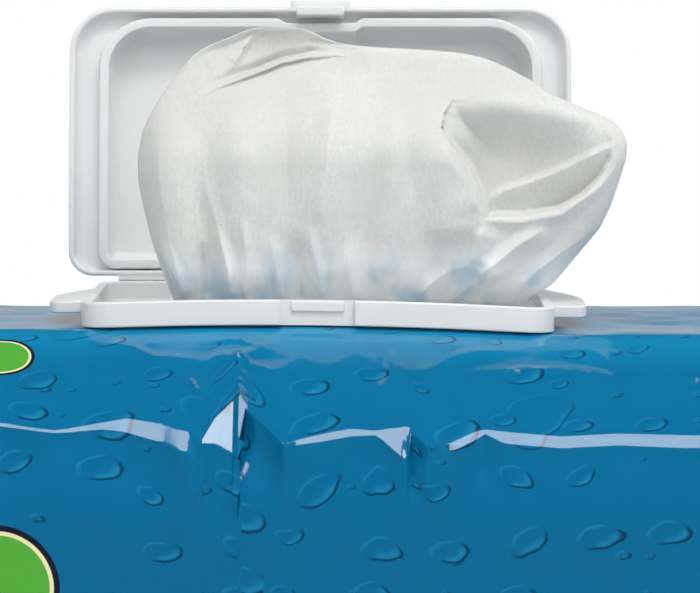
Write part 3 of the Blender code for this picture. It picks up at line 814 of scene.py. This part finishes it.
# Closure
def make_frame_moulding(material):
    floor = -COLLAR_HEIGHT
    deck = floor + DECK
    sections = [
        (collar_outline(0.0), floor),
        (collar_outline(0.0), 0.0),
        (collar_outline(COLLAR_WALL), 0.0),
        (collar_outline(COLLAR_WALL), deck),
        (opening_outline(), deck),
        (opening_outline(), floor),
    ]
    loops = []
    for outline, level in sections:
        loops.append([(x, y, RIM + level - float(bow(x, y))) for x, y in at_closure(outline)])
    base = round_edges(loft("frame_moulding", loops, ring=True), SOFT_EDGE)
    for side in (-1, 1):
        ear = prism("ear", ear_outline(side), RIM + EAR_TOP - EAR_THICKNESS, RIM + EAR_TOP, bow)
        combine(base, round_edges(ear, SOFT_EDGE), "UNION")
    combine(base, rear_ledge(), "UNION")
    half = LATCH_WIDTH / 2
    front = -COLLAR_DEPTH / 2
    pocket = at_closure(block_outline(-half, half, 2 * front, front + LATCH_RECESS))
    combine(base, prism("pocket", pocket, PACK_HEIGHT - COLLAR_HEIGHT, RIM + COLLAR_HEIGHT), "DIFFERENCE")
    half = CATCH_WIDTH / 2
    face = LATCH_RECESS + front
    bead = at_closure(block_outline(-half, half, face - CATCH_PROUD, face + COLLAR_WALL / 4))
    bead = prism("bead", bead, RIM - GAP - CATCH_HEIGHT, RIM - GAP, bow)
    combine(base, round_edges(bead, SOFT_EDGE / 2), "UNION")
    smooth_moulding(base)
    base.data.materials.clear()
    base.data.materials.append(material)
    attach(base, "pack")
    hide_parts("closure_base")
    return base


def ear_outline(side):
    root = COLLAR_WIDTH / 2 - COLLAR_WALL / 2
    inside = root - COLLAR_WALL / 3
    tip = COLLAR_WIDTH / 2 + EAR_REACH
    corner = 0.35 * EAR_REACH
    straight = EAR_FRONT + EAR_STRAIGHT
    shape = [(inside, EAR_FRONT)] + arc((tip - corner, EAR_FRONT + corner), corner, 270, 8)
    for t in np.linspace(0, 1, 14):
        ease = float(smooth_step(t))
        shape.append((tip - (tip - root) * ease, straight + EAR_TAPER * t))
    shape.append((inside, straight + EAR_TAPER))
    outline = at_closure([(side * x, y) for x, y in shape])
    return outline if side > 0 else outline[::-1]


def heel_level():
    turn = math.radians(-OPEN_ANGLE)
    top = CHANNEL_LEVEL + LID_WALL - EDGE_ROUND - HINGE_LEVEL
    return HINGE_LEVEL - HINGE_BEHIND_LID * math.sin(turn) + top * math.cos(turn)


def rear_ledge():
    inside = COLLAR_DEPTH / 2 - COLLAR_WALL / 2
    back = COLLAR_DEPTH / 2 + LEDGE_REACH
    gutter = EAR_TOP
    ridge = HINGE_LEVEL - WEB_RADIUS - GAP
    stop_front = HINGE_Y + 4 * WEB_RADIUS
    underside = gutter - LEDGE_THICKNESS
    outline = [
        (inside, underside),
        (back, underside),
        (back, heel_level() - GAP),
        (stop_front, heel_level() - GAP),
        (stop_front, gutter),
        (HINGE_Y + 1.5 * WEB_RADIUS, gutter),
        (HINGE_Y + WEB_RADIUS, ridge),
        (HINGE_Y - WEB_RADIUS, ridge),
        (HINGE_Y - 1.5 * WEB_RADIUS, gutter),
        (inside, gutter),
    ]
    half = HINGE_WIDTH / 2
    return bar("ledge", [(y, RIM + z) for y, z in outline], CLOSURE_X - half, CLOSURE_X + half)


def lid_loop(level, channel=0.0, inset=0.0):
    """Loop of the closed lid at a level above the rim, about the hinge axis."""
    half_width = LID_WIDTH / 2 - inset - channel * CHANNEL_SIDE
    front = LID_REAR - LID_DEPTH + inset + channel * CHANNEL_FRONT
    rear = LID_REAR - inset - channel * CHANNEL_REAR
    front_radius = LID_FRONT_RADIUS + channel * (RIB_FRONT_RADIUS - LID_FRONT_RADIUS + LIP) - inset
    rear_radius = LID_REAR_RADIUS + channel * (RIB_REAR_RADIUS - LID_REAR_RADIUS + LIP) - inset
    rear_radius = max(rear_radius, EDGE_ROUND)
    outline = rounded_outline(half_width, front, rear, front_radius, rear_radius, channel * RIB_JOG)
    return [(x, y - HINGE_Y, level - HINGE_LEVEL) for x, y in outline]


def lid_block(name, half_width, front, rear, low, high):
    outline = block_outline(-half_width, half_width, front - HINGE_Y, rear - HINGE_Y)
    return prism(name, outline, low - HINGE_LEVEL, high - HINGE_LEVEL)


def make_lid_moulding(material):
    margin_top = CHANNEL_LEVEL + LID_WALL
    panel_top = RECESS_LEVEL + LID_WALL
    rib_inner = LIP + RIB
    wall = LID_WALL + RECESS_SLOPE / 2
    loops = [
        lid_loop(panel_top, 1, rib_inner + 2 * RECESS_SLOPE),
        lid_loop(panel_top, 1, rib_inner - wall + RECESS_SLOPE + EDGE_ROUND),
        lid_loop(panel_top - 0.3 * EDGE_ROUND, 1, rib_inner - wall + RECESS_SLOPE + 0.3 * EDGE_ROUND),
        lid_loop(panel_top - EDGE_ROUND, 1, rib_inner - wall + RECESS_SLOPE),
        lid_loop(margin_top + EDGE_ROUND, 1, rib_inner - wall + 0.2 * RECESS_SLOPE),
        lid_loop(margin_top, 1, rib_inner - wall - EDGE_ROUND / 2),
        lid_loop(margin_top, 0, EDGE_ROUND),
        lid_loop(margin_top - 0.3 * EDGE_ROUND, 0, 0.5 * EDGE_ROUND),
        lid_loop(margin_top - EDGE_ROUND, 0, EDGE_ROUND / 4),
        lid_loop(LIP_LEVEL + SOFT_EDGE, 0, 0),
        lid_loop(LIP_LEVEL + 0.3 * SOFT_EDGE, 0, 0.3 * SOFT_EDGE),
        lid_loop(LIP_LEVEL, 0, SOFT_EDGE),
        lid_loop(LIP_LEVEL, 0, LIP - SOFT_EDGE),
        lid_loop(LIP_LEVEL + 0.3 * SOFT_EDGE, 0, LIP - 0.3 * SOFT_EDGE),
    ]
    for share in (0.0, 0.2, 0.4, 0.6, 0.8, 1.0):
        turn = share * math.pi / 2
        depth = CHANNEL_LEVEL - LIP_LEVEL - SOFT_EDGE
        level = LIP_LEVEL + SOFT_EDGE + depth * math.sin(turn)
        loops.append(lid_loop(level, 0.42 * (1 - math.cos(turn)) + 0.02, LIP))
    loops += [
        lid_loop(CHANNEL_LEVEL, 0.90, LIP),
        lid_loop(CHANNEL_LEVEL - 0.0003, 0.97, LIP),
        lid_loop(RIB_LEVEL + SOFT_EDGE, 1, LIP),
        lid_loop(RIB_LEVEL + 0.3 * SOFT_EDGE, 1, LIP + 0.3 * SOFT_EDGE),
        lid_loop(RIB_LEVEL, 1, LIP + SOFT_EDGE),
        lid_loop(RIB_LEVEL, 1, rib_inner - SOFT_EDGE),
        lid_loop(RIB_LEVEL + 0.3 * SOFT_EDGE, 1, rib_inner - 0.3 * SOFT_EDGE),
        lid_loop(RIB_LEVEL + SOFT_EDGE, 1, rib_inner),
    ]
    for share in (0.1, 0.35, 0.6, 0.8, 0.93, 1.0):
        depth = RECESS_LEVEL - RIB_LEVEL
        inset = rib_inner + (RECESS_SLOPE + EDGE_ROUND) * share ** 2.2
        loops.append(lid_loop(RIB_LEVEL + depth * (1 - (1 - share) ** 1.6), 1, inset))
    loops.append(lid_loop(RECESS_LEVEL, 1, rib_inner + RECESS_SLOPE + 2 * EDGE_ROUND))
    lid = loft("lid_moulding", loops)
    face = LID_REAR - LID_DEPTH
    catch_face = LATCH_RECESS - COLLAR_DEPTH / 2 - CATCH_PROUD
    high = LIP_LEVEL + TAB_THICKNESS
    tab = lid_block("tab", TAB_WIDTH / 2, face - TAB_PROUD, face + LIP / 2, LIP_LEVEL, high)
    combine(lid, round_edges(tab, SOFT_EDGE), "UNION")
    low = LIP_LEVEL - CLASP_REACH
    high = CHANNEL_LEVEL + LID_WALL / 2
    clasp = lid_block("clasp", CATCH_WIDTH / 2, face + LIP / 4, catch_face - GAP, low, high)
    combine(lid, round_edges(clasp, SOFT_EDGE), "UNION")
    turns = [math.radians(angle) for angle in range(-90, 91, 15)]
    tip = [(WEB_RADIUS * math.cos(a), WEB_RADIUS * math.sin(a)) for a in turns]
    root = -HINGE_BEHIND_LID - LIP / 2
    web = bar("web", [(root, -WEB_RADIUS), *tip, (root, WEB_RADIUS)], -HINGE_WIDTH / 2, HINGE_WIDTH / 2)
    combine(lid, web, "UNION")
    lid.data.transform(Matrix.Rotation(math.radians(-OPEN_ANGLE), 4, "X"))
    lid.data.transform(Matrix.Translation((CLOSURE_X, HINGE_Y, RIM + HINGE_LEVEL)))
    smooth_moulding(lid)
    lid.data.materials.clear()
    lid.data.materials.append(material)
    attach(lid, "lid")
    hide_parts("closure_lid")
    return lid


# Stack
def make_stack(material):
    """Block of folded wipes, narrower towards the top as the pouch is, with a groove between
    the folds of one wipe and the next all round."""
    low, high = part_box("wipes_stack")
    layers = 24
    steps = 6
    levels = np.linspace(low.z, high.z, layers * steps + 1)
    fold = 0.0006 * (np.abs(np.sin(np.arange(len(levels)) * math.pi / steps)) - 1)
    spare = PACK_DEPTH / 2 - high.y
    reach = np.linspace(SHOULDER_REACH, 0, 200)
    slope_levels = shoulder_level(reach) - (PACK_HEIGHT - high.z)
    loops = []
    for level, groove in zip(levels, fold):
        deep = min(high.y, float(np.interp(level, slope_levels, reach)) - spare / 2)
        deep = min(deep, high.y - 0.003 + 0.003 * math.sqrt(min((level - low.z) / 0.004, 1)))
        half_x = high.x - 0.001 + groove
        outline = []
        for turn in np.linspace(0, 2 * math.pi, 160, endpoint=False):
            c, s = math.cos(turn), math.sin(turn)
            x = half_x * math.copysign(abs(c) ** 0.12, c)
            y = (deep + groove) * math.copysign(abs(s) ** 0.12, s)
            outline.append((x, y, level))
        loops.append(outline)
    stack = loft("cloth_stack", loops)
    stack.data.materials.append(material)
    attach(stack, "pack")
    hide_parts("wipes_stack")
    return stack


# Pulled-up wipe
WIPE_DEPTH = -0.008
PIXEL = (WIPE_DEPTH - EYE.y) / FOCAL
WIPE_FOOT_ROW = 302.0
WIPE_TOP_ROW = 26.5

# Left and right edge of the wipe in the photograph, as (pixel row, column)
WIPE_LEFT = (
    (302, 174), (290, 169), (275, 163), (255, 156), (235, 150), (205, 143), (180, 138), (155, 138),
    (130, 143), (115, 150), (98, 160), (80, 173), (66, 184), (56, 193), (50, 201), (44, 213), (39, 226),
    (34, 238), (30, 248), (27.5, 258), (26.5, 264),
)
WIPE_RIGHT = (
    (302, 528), (295, 536), (290, 545), (284, 553), (270, 565), (252, 580), (228, 600), (205, 611),
    (175, 621), (158, 626), (142, 627), (131, 622), (122, 614), (116, 603), (111, 590), (105, 576),
    (99, 562), (92, 548), (80, 530), (67, 506), (58, 484), (53, 462), (50, 430), (48, 390), (46, 356),
    (43, 338), (38, 324), (33, 314), (29, 304), (27.5, 288), (26.5, 268),
)

# Folds of the cloth: pixel path, height towards the viewer, half width to the left of the way
# down the path and half width to its right, in metres
WIPE_SWELLS = (
    (((176, 92), (170, 150), (176, 220), (188, 302)), 0.0022, 0.0080, 0.0070),
    (((246, 84), (244, 150), (246, 220), (247, 302)), 0.0040, 0.0095, 0.0100),
    (((342, 60), (336, 110), (328, 170), (322, 230), (326, 302)), 0.0034, 0.0110, 0.0120),
    (((398, 66), (394, 150), (392, 230), (384, 300)), 0.0024, 0.0070, 0.0100),
    (((436, 84), (436, 140), (448, 200), (452, 250)), 0.0030, 0.0075, 0.0100),
)
WIPE_FOLDS = (
    (((200, 140), (207, 190), (221, 240), (234, 302)), 0.0010, 0.0030, 0.0026),
    (((340, 66), (334, 110), (326, 170), (320, 230)), 0.0012, 0.0040, 0.0030),
    (((160, 120), (158, 170), (166, 230), (185, 302)), 0.0012, 0.0035, 0.0060),
    (((150, 228), (166, 262), (187, 302)), 0.0016, 0.0022, 0.0030),
    (((214, 222), (226, 262), (233, 302)), 0.0016, 0.0026, 0.0024),
    (((243, 214), (247, 258), (245, 302)), 0.0012, 0.0022, 0.0020),
    (((272, 232), (277, 268), (282, 302)), 0.0012, 0.0020, 0.0026),
    (((309, 222), (316, 262), (325, 302)), 0.0018, 0.0030, 0.0022),
    (((352, 240), (350, 272), (356, 302)), 0.0010, 0.0030, 0.0030),
    (((200, 236), (206, 270), (208, 302)), -0.0014, 0.0024, 0.0024),
    (((296, 236), (300, 270), (303, 302)), -0.0014, 0.0026, 0.0026),
    (((262, 26), (248, 42), (233, 66)), 0.0014, 0.0036, 0.0012),
    (((440, 136), (452, 160), (468, 184), (480, 214)), 0.0016, 0.0070, 0.0010),
    (((616, 134), (617, 164), (601, 186), (562, 214), (522, 222), (486, 220)), 0.0010, 0.0020, 0.0024),
    (((486, 222), (480, 240), (474, 266)), 0.0020, 0.0022, 0.0046),
    (((552, 224), (520, 244), (500, 260), (482, 274)), 0.0026, 0.0030, 0.0040),
    (((600, 224), (566, 250), (538, 270), (516, 292)), 0.0014, 0.0040, 0.0046),
    (((436, 276), (466, 266), (498, 276), (522, 264), (548, 238)), 0.0006, 0.0026, 0.0034),
    (((452, 302), (470, 286), (504, 270)), 0.0008, 0.0024, 0.0030),
    (((414, 302), (430, 284), (448, 272)), 0.0007, 0.0026, 0.0026),
)

# The rounded top of the front layer, where it turns in before the layer behind
DOME_CREASE = (
    (196, 103), (203, 97), (219, 88), (240, 80), (260, 73), (284, 63), (310, 58), (336, 56), (356, 58),
)
DOME_STEP = 0.0034

# Mouth of the fold at the right: its lip, from the top left round the bottom to the right, and
# the far edge over it
MOUTH_LIP = (
    (442, 131), (456, 150), (470, 168), (479, 188), (483, 202), (485, 218), (522, 217), (560, 210),
    (584, 196), (602, 178), (613, 160), (614, 140), (608, 126),
)
MOUTH_TOP = ((442, 131), (444, 114), (452, 101), (500, 98), (545, 103), (575, 108), (596, 115), (608, 126))
MOUTH_DEPTH = 0.0125
MOUTH_FOLD = ((478, 206), (505, 190), (556, 172), (606, 148))


def to_plane(path):
    return [(column * PIXEL, -row * PIXEL) for column, row in path]


def inside_polygon(u, v, polygon):
    inside = np.zeros(u.shape, bool)
    points = list(polygon) + [polygon[0]]
    for (u0, v0), (u1, v1) in zip(points, points[1:]):
        if v0 == v1:
            continue
        crosses = (v0 > v) != (v1 > v)
        inside ^= crosses & (u < (u1 - u0) * (v - v0) / (v1 - v0) + u0)
    return inside


def edge_columns(edge, rows):
    points = sorted(edge)
    columns = np.interp(rows, [p[0] for p in points], [p[1] for p in points])
    for _ in range(3):
        columns[1:-1] = (columns[:-2] + 2 * columns[1:-1] + columns[2:]) / 4
    return columns


def ridge(u, v, fold, soft=False):
    """Lift of one fold, with its own width on either side of its path. A soft one is rounded."""
    path, height, left, right = fold
    away, along, side = path_distance(u, v, to_plane(path))
    share = np.clip(away / np.where(side < 0, left, right), 0, 1)
    taper = smooth_step(along / 0.35) * (0.4 + 0.6 * smooth_step((1 - along) / 0.15))
    return height * taper * ((1 - share ** 2) ** 2 if soft else (1 - share) ** 1.5)


def wipe_relief(u, v):
    """How far the cloth's front stands out from its plain billow."""
    relief = np.zeros(u.shape)
    for swell in WIPE_SWELLS:
        relief += ridge(u, v, swell, True)
    for fold in WIPE_FOLDS:
        relief += ridge(u, v, fold)
    away, along, side = path_distance(u, v, to_plane(DOME_CREASE))
    fade = smooth_step(along / 0.45) * smooth_step((1 - along) / 0.40)
    above = side > 0
    relief -= np.where(above, DOME_STEP * smooth_step(away / 0.0016), 0.0) * fade
    relief -= np.where(above, 0.0016 * np.exp(-((away - 0.0015) / 0.0009) ** 2), 0.0) * fade
    relief -= np.where(above, 0.0, 0.0016 * np.clip(1 - away / 0.0040, 0, 1) ** 2) * fade
    lip = to_plane(MOUTH_LIP)
    top = to_plane(MOUTH_TOP)
    inside = inside_polygon(u, v, lip + top[::-1])
    from_lip = path_distance(u, v, lip)[0]
    from_top = path_distance(u, v, top)[0]
    corner = to_plane([MOUTH_LIP[-3]])[0]
    from_corner = np.hypot(u - corner[0], v - corner[1])
    depth = MOUTH_DEPTH * smooth_step(from_lip / 0.0014) * smooth_step(from_top / 0.012 + 0.02)
    depth *= 0.35 + 0.65 * smooth_step(from_corner / 0.020)
    fold = ridge(u, v, (MOUTH_FOLD, 0.0026, 0.0070, 0.0016))
    relief = np.where(inside, fold - depth, relief)
    relief += 0.00016 * value_noise(u + 0.4, v + 0.9, 0.0045, 21)
    relief += 0.0003 * value_noise(u + 0.4, v + 0.9, 0.013, 22)
    return relief


def make_wipe(material):
    """Damp wipe gathered at the opening and billowing above it, as one open-ended skin."""
    low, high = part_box("popped_wipe")
    rows_up = 232
    in_front = 300
    behind = 100
    rise = 0.75 * np.sin(np.linspace(0, math.pi / 2, rows_up)) + 0.25 * np.linspace(0, 1, rows_up)
    rows = WIPE_FOOT_ROW + (WIPE_TOP_ROW - WIPE_FOOT_ROW) * rise
    left = edge_columns(WIPE_LEFT, rows)
    right = edge_columns(WIPE_RIGHT, rows)

    def spread(count):
        t = np.linspace(0, 1, count, endpoint=False)
        return 0.55 * (2 * t - 1) - 0.45 * np.cos(math.pi * t)

    a = np.concatenate([spread(in_front), -spread(behind)])
    front = np.arange(len(a)) < in_front
    U = (left + right)[:, None] / 2 + (right - left)[:, None] / 2 * a
    V = np.repeat(rows[:, None], len(a), axis=1)
    up = (WIPE_FOOT_ROW - V) / (WIPE_FOOT_ROW - WIPE_TOP_ROW)
    belly = 0.0082 + 0.0048 * np.sin(np.clip(up * 1.2, 0, 1) * math.pi) ** 0.8
    thick = belly * (1 - smooth_step((up - 0.50) / 0.50)) + 0.0020 * smooth_step((up - 0.4) / 0.5)
    bulge = np.sqrt(np.clip(1 - a * a, 0, 1)) ** 0.8
    near_edge = smooth_step(np.minimum(U - left[:, None], right[:, None] - U) * PIXEL / 0.0022)
    near_top = smooth_step((1 - up) / 0.02)
    u = U * PIXEL
    v = -V * PIXEL
    relief = wipe_relief(u, v) * near_edge * near_top
    back_folds = 0.0012 * value_noise(u * 1.6 + 0.7, v * 0.35 + 0.9, 0.010, 24) * near_edge
    depth = WIPE_DEPTH + np.where(front, -thick * bulge - relief, thick * bulge + back_folds)
    behind_now = WIPE_DEPTH + thick * bulge - 0.0008
    depth = np.where(front, np.minimum(depth, np.maximum(behind_now, WIPE_DEPTH)), depth)

    reach = (depth - EYE.y) / FOCAL
    x = (U - MIDDLE_COLUMN) * reach
    z = EYE.z - (V - EYE_ROW) * reach
    points = np.stack([x, depth, z], -1)

    foot = points[0]
    swing = np.where(front, -1.0, 1.0) * np.sqrt(np.clip(1 - a * a, 0, 1))
    pleats = 0.0013 * np.sin(2 * math.pi * a * 0.031 / 0.0052 + 1.2 * np.sin(5 * a))
    neck = np.stack([0.002 + 0.031 * a, -0.001 + 0.0045 * swing + pleats, foot[:, 2]], -1)
    rings = []
    for share in np.linspace(1, 0, 10, endpoint=False):
        ease = smooth_step(share / 0.7)
        ring = foot * (1 - ease) + neck * ease
        ring[:, 2] = low.z + (foot[:, 2] - low.z) * (1 - share)
        rings.append(ring)
    loops = rings + list(points)
    wipe = loft("pulled_wipe", [list(map(tuple, loop)) for loop in loops], ends=False)
    top = len(wipe.data.vertices) - len(a)
    bm = bmesh.new()
    bm.from_mesh(wipe.data)
    bm.verts.ensure_lookup_table()
    bm.faces.new([bm.verts[top + i] for i in range(len(a))])
    bmesh.ops.recalc_face_normals(bm, faces=bm.faces)
    bm.to_mesh(wipe.data)
    bm.free()
    wipe.data.shade_smooth()
    wipe.data.materials.append(material)
    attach(wipe, "pack")
    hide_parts("popped_wipe")
    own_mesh(wipe)
    return wipe


# Studio
def make_floor():
    """Pale floor that fades to the white of the background and keeps the pack's shadow."""
    bpy.ops.mesh.primitive_plane_add(size=12, location=(0, 0, 0))
    floor = bpy.context.object
    floor.name = "floor"
    shader = Shader("pale_floor")
    shader.set("Base Color", (0.9, 0.9, 0.9, 1))
    shader.set("Roughness", 0.7)
    glow = shader.add("ShaderNodeEmission")
    glow.inputs["Color"].default_value = (1, 1, 1, 1)
    path = shader.add("ShaderNodeLightPath")
    seen = shader.math("MAXIMUM", path.outputs["Is Camera Ray"], path.outputs["Is Transmission Ray"])
    place = shader.add("ShaderNodeNewGeometry").outputs["Position"]
    away = shader.vector("LENGTH", place, value=True)
    fade = shader.math("MULTIPLY_ADD", shader.smooth(away, 0.12, 0.5), 0.6, 0.4)
    share = shader.math("MULTIPLY", seen, fade)
    blend = shader.add("ShaderNodeMixShader")
    shader.join(share, blend.inputs[0])
    shader.join(shader.surface.outputs[0], blend.inputs[1])
    shader.join(glow.outputs[0], blend.inputs[2])
    dim = shader.add("ShaderNodeEmission")
    dim.inputs["Color"].default_value = (0.08, 0.08, 0.08, 1)
    mirrored = shader.add("ShaderNodeMixShader")
    shader.join(path.outputs["Is Glossy Ray"], mirrored.inputs[0])
    shader.join(blend.outputs[0], mirrored.inputs[1])
    shader.join(dim.outputs[0], mirrored.inputs[2])
    output = shader.tree.nodes["Material Output"]
    shader.join(mirrored.outputs[0], output.inputs["Surface"])
    floor.data.materials.append(shader.material)


def make_world():
    """White to the eye, an even soft light for the surfaces, and a dim room in reflections, where
    only the low part behind the pack is pale."""
    world = bpy.data.worlds.new("studio")
    bpy.context.scene.world = world
    world.use_nodes = True
    tree = world.node_tree
    soft = tree.nodes["Background"]
    soft.inputs["Color"].default_value = (1, 1, 1, 1)
    soft.inputs["Strength"].default_value = 0.50

    def ramp(socket, low, high):
        node = tree.nodes.new("ShaderNodeMapRange")
        node.interpolation_type = "SMOOTHSTEP"
        tree.links.new(socket, node.inputs["Value"])
        node.inputs["From Min"].default_value = low
        node.inputs["From Max"].default_value = high
        return node.outputs["Result"]

    def join_math(operation, a, b):
        node = tree.nodes.new("ShaderNodeMath")
        node.operation = operation
        for socket, value in zip(node.inputs, (a, b)):
            if isinstance(value, bpy.types.NodeSocket):
                tree.links.new(value, socket)
            else:
                socket.default_value = value
        return node.outputs[0]

    def background(strength):
        node = tree.nodes.new("ShaderNodeBackground")
        node.inputs["Color"].default_value = (1, 1, 1, 1)
        if isinstance(strength, bpy.types.NodeSocket):
            tree.links.new(strength, node.inputs["Strength"])
        else:
            node.inputs["Strength"].default_value = strength
        return node.outputs[0]

    def blend(share, a, b):
        node = tree.nodes.new("ShaderNodeMixShader")
        tree.links.new(share, node.inputs[0])
        tree.links.new(a, node.inputs[1])
        tree.links.new(b, node.inputs[2])
        return node.outputs[0]

    direction = tree.nodes.new("ShaderNodeSeparateXYZ")
    tree.links.new(tree.nodes.new("ShaderNodeTexCoord").outputs["Generated"], direction.inputs[0])
    rearward = ramp(direction.outputs["Y"], -0.1, 0.6)
    behind = join_math("MULTIPLY", rearward, ramp(direction.outputs["Z"], 0.5, 0.1))
    room = background(join_math("ADD", join_math("MULTIPLY", behind, 0.46), 0.06))
    path = tree.nodes.new("ShaderNodeLightPath")
    seen = join_math("MAXIMUM", path.outputs["Is Camera Ray"], path.outputs["Is Transmission Ray"])
    shown = blend(path.outputs["Is Glossy Ray"], soft.outputs[0], room)
    tree.links.new(blend(seen, shown, background(1.0)), tree.nodes["World Output"].inputs["Surface"])


def area_light(name, place, target, size, power, diffuse=True, glossy=True):
    """Rectangular lamp. One that is only diffuse or only glossy leaves the other to its fellows."""
    light = bpy.data.lights.new(name, "AREA")
    light.shape = "RECTANGLE"
    light.size, light.size_y = size
    light.energy = power
    obj = bpy.data.objects.new(name, light)
    obj.location = place
    obj.rotation_euler = (Vector(target) - Vector(place)).to_track_quat("-Z", "Y").to_euler()
    obj.visible_diffuse = diffuse
    obj.visible_glossy = glossy
    bpy.context.scene.collection.objects.link(obj)


def make_lights():
    aim = (0, -0.02, 0.08)
    area_light("strip", (0.05, -0.47, 1.08), (0, -0.055, 0.06), (0.90, 0.24), 5.0)
    area_light("key", (0.60, -0.90, 1.08), aim, (1.1, 0.9), 7.7, glossy=False)
    area_light("side", (0.85, -0.15, 1.00), aim, (0.5, 0.5), 9.0, diffuse=False)
    area_light("fill", (-0.95, -0.85, 0.55), aim, (1.2, 1.2), 2.0, glossy=False)


def make_camera():
    camera = bpy.data.cameras.new("photo_camera")
    camera.sensor_width = 36.0
    camera.lens = FOCAL / PHOTO_WIDTH * camera.sensor_width
    camera.clip_start = 0.01
    obj = bpy.data.objects.new("photo_camera", camera)
    obj.location = EYE
    tilt = math.atan((PHOTO_HEIGHT / 2 - EYE_ROW) / FOCAL)
    obj.rotation_euler = (math.pi / 2 - tilt, 0, 0)
    bpy.context.scene.collection.objects.link(obj)
    bpy.context.scene.camera = obj


make_camera()
make_film()
white_plastic = closure_material()
make_frame_moulding(white_plastic)
make_lid_moulding(white_plastic)
make_stack(cloth_material("stacked_wipes", (232, 233, 230)))
# The damp wipe gets painted light and painted blue shade and reflection below this level, near the film
make_wipe(cloth_material("damp_wipe", (220, 221, 218), RIM + 0.014))
make_floor()
make_world()
make_lights()
bpy.context.scene.view_settings.view_transform = "Standard"

bpy.context.view_layer.update()
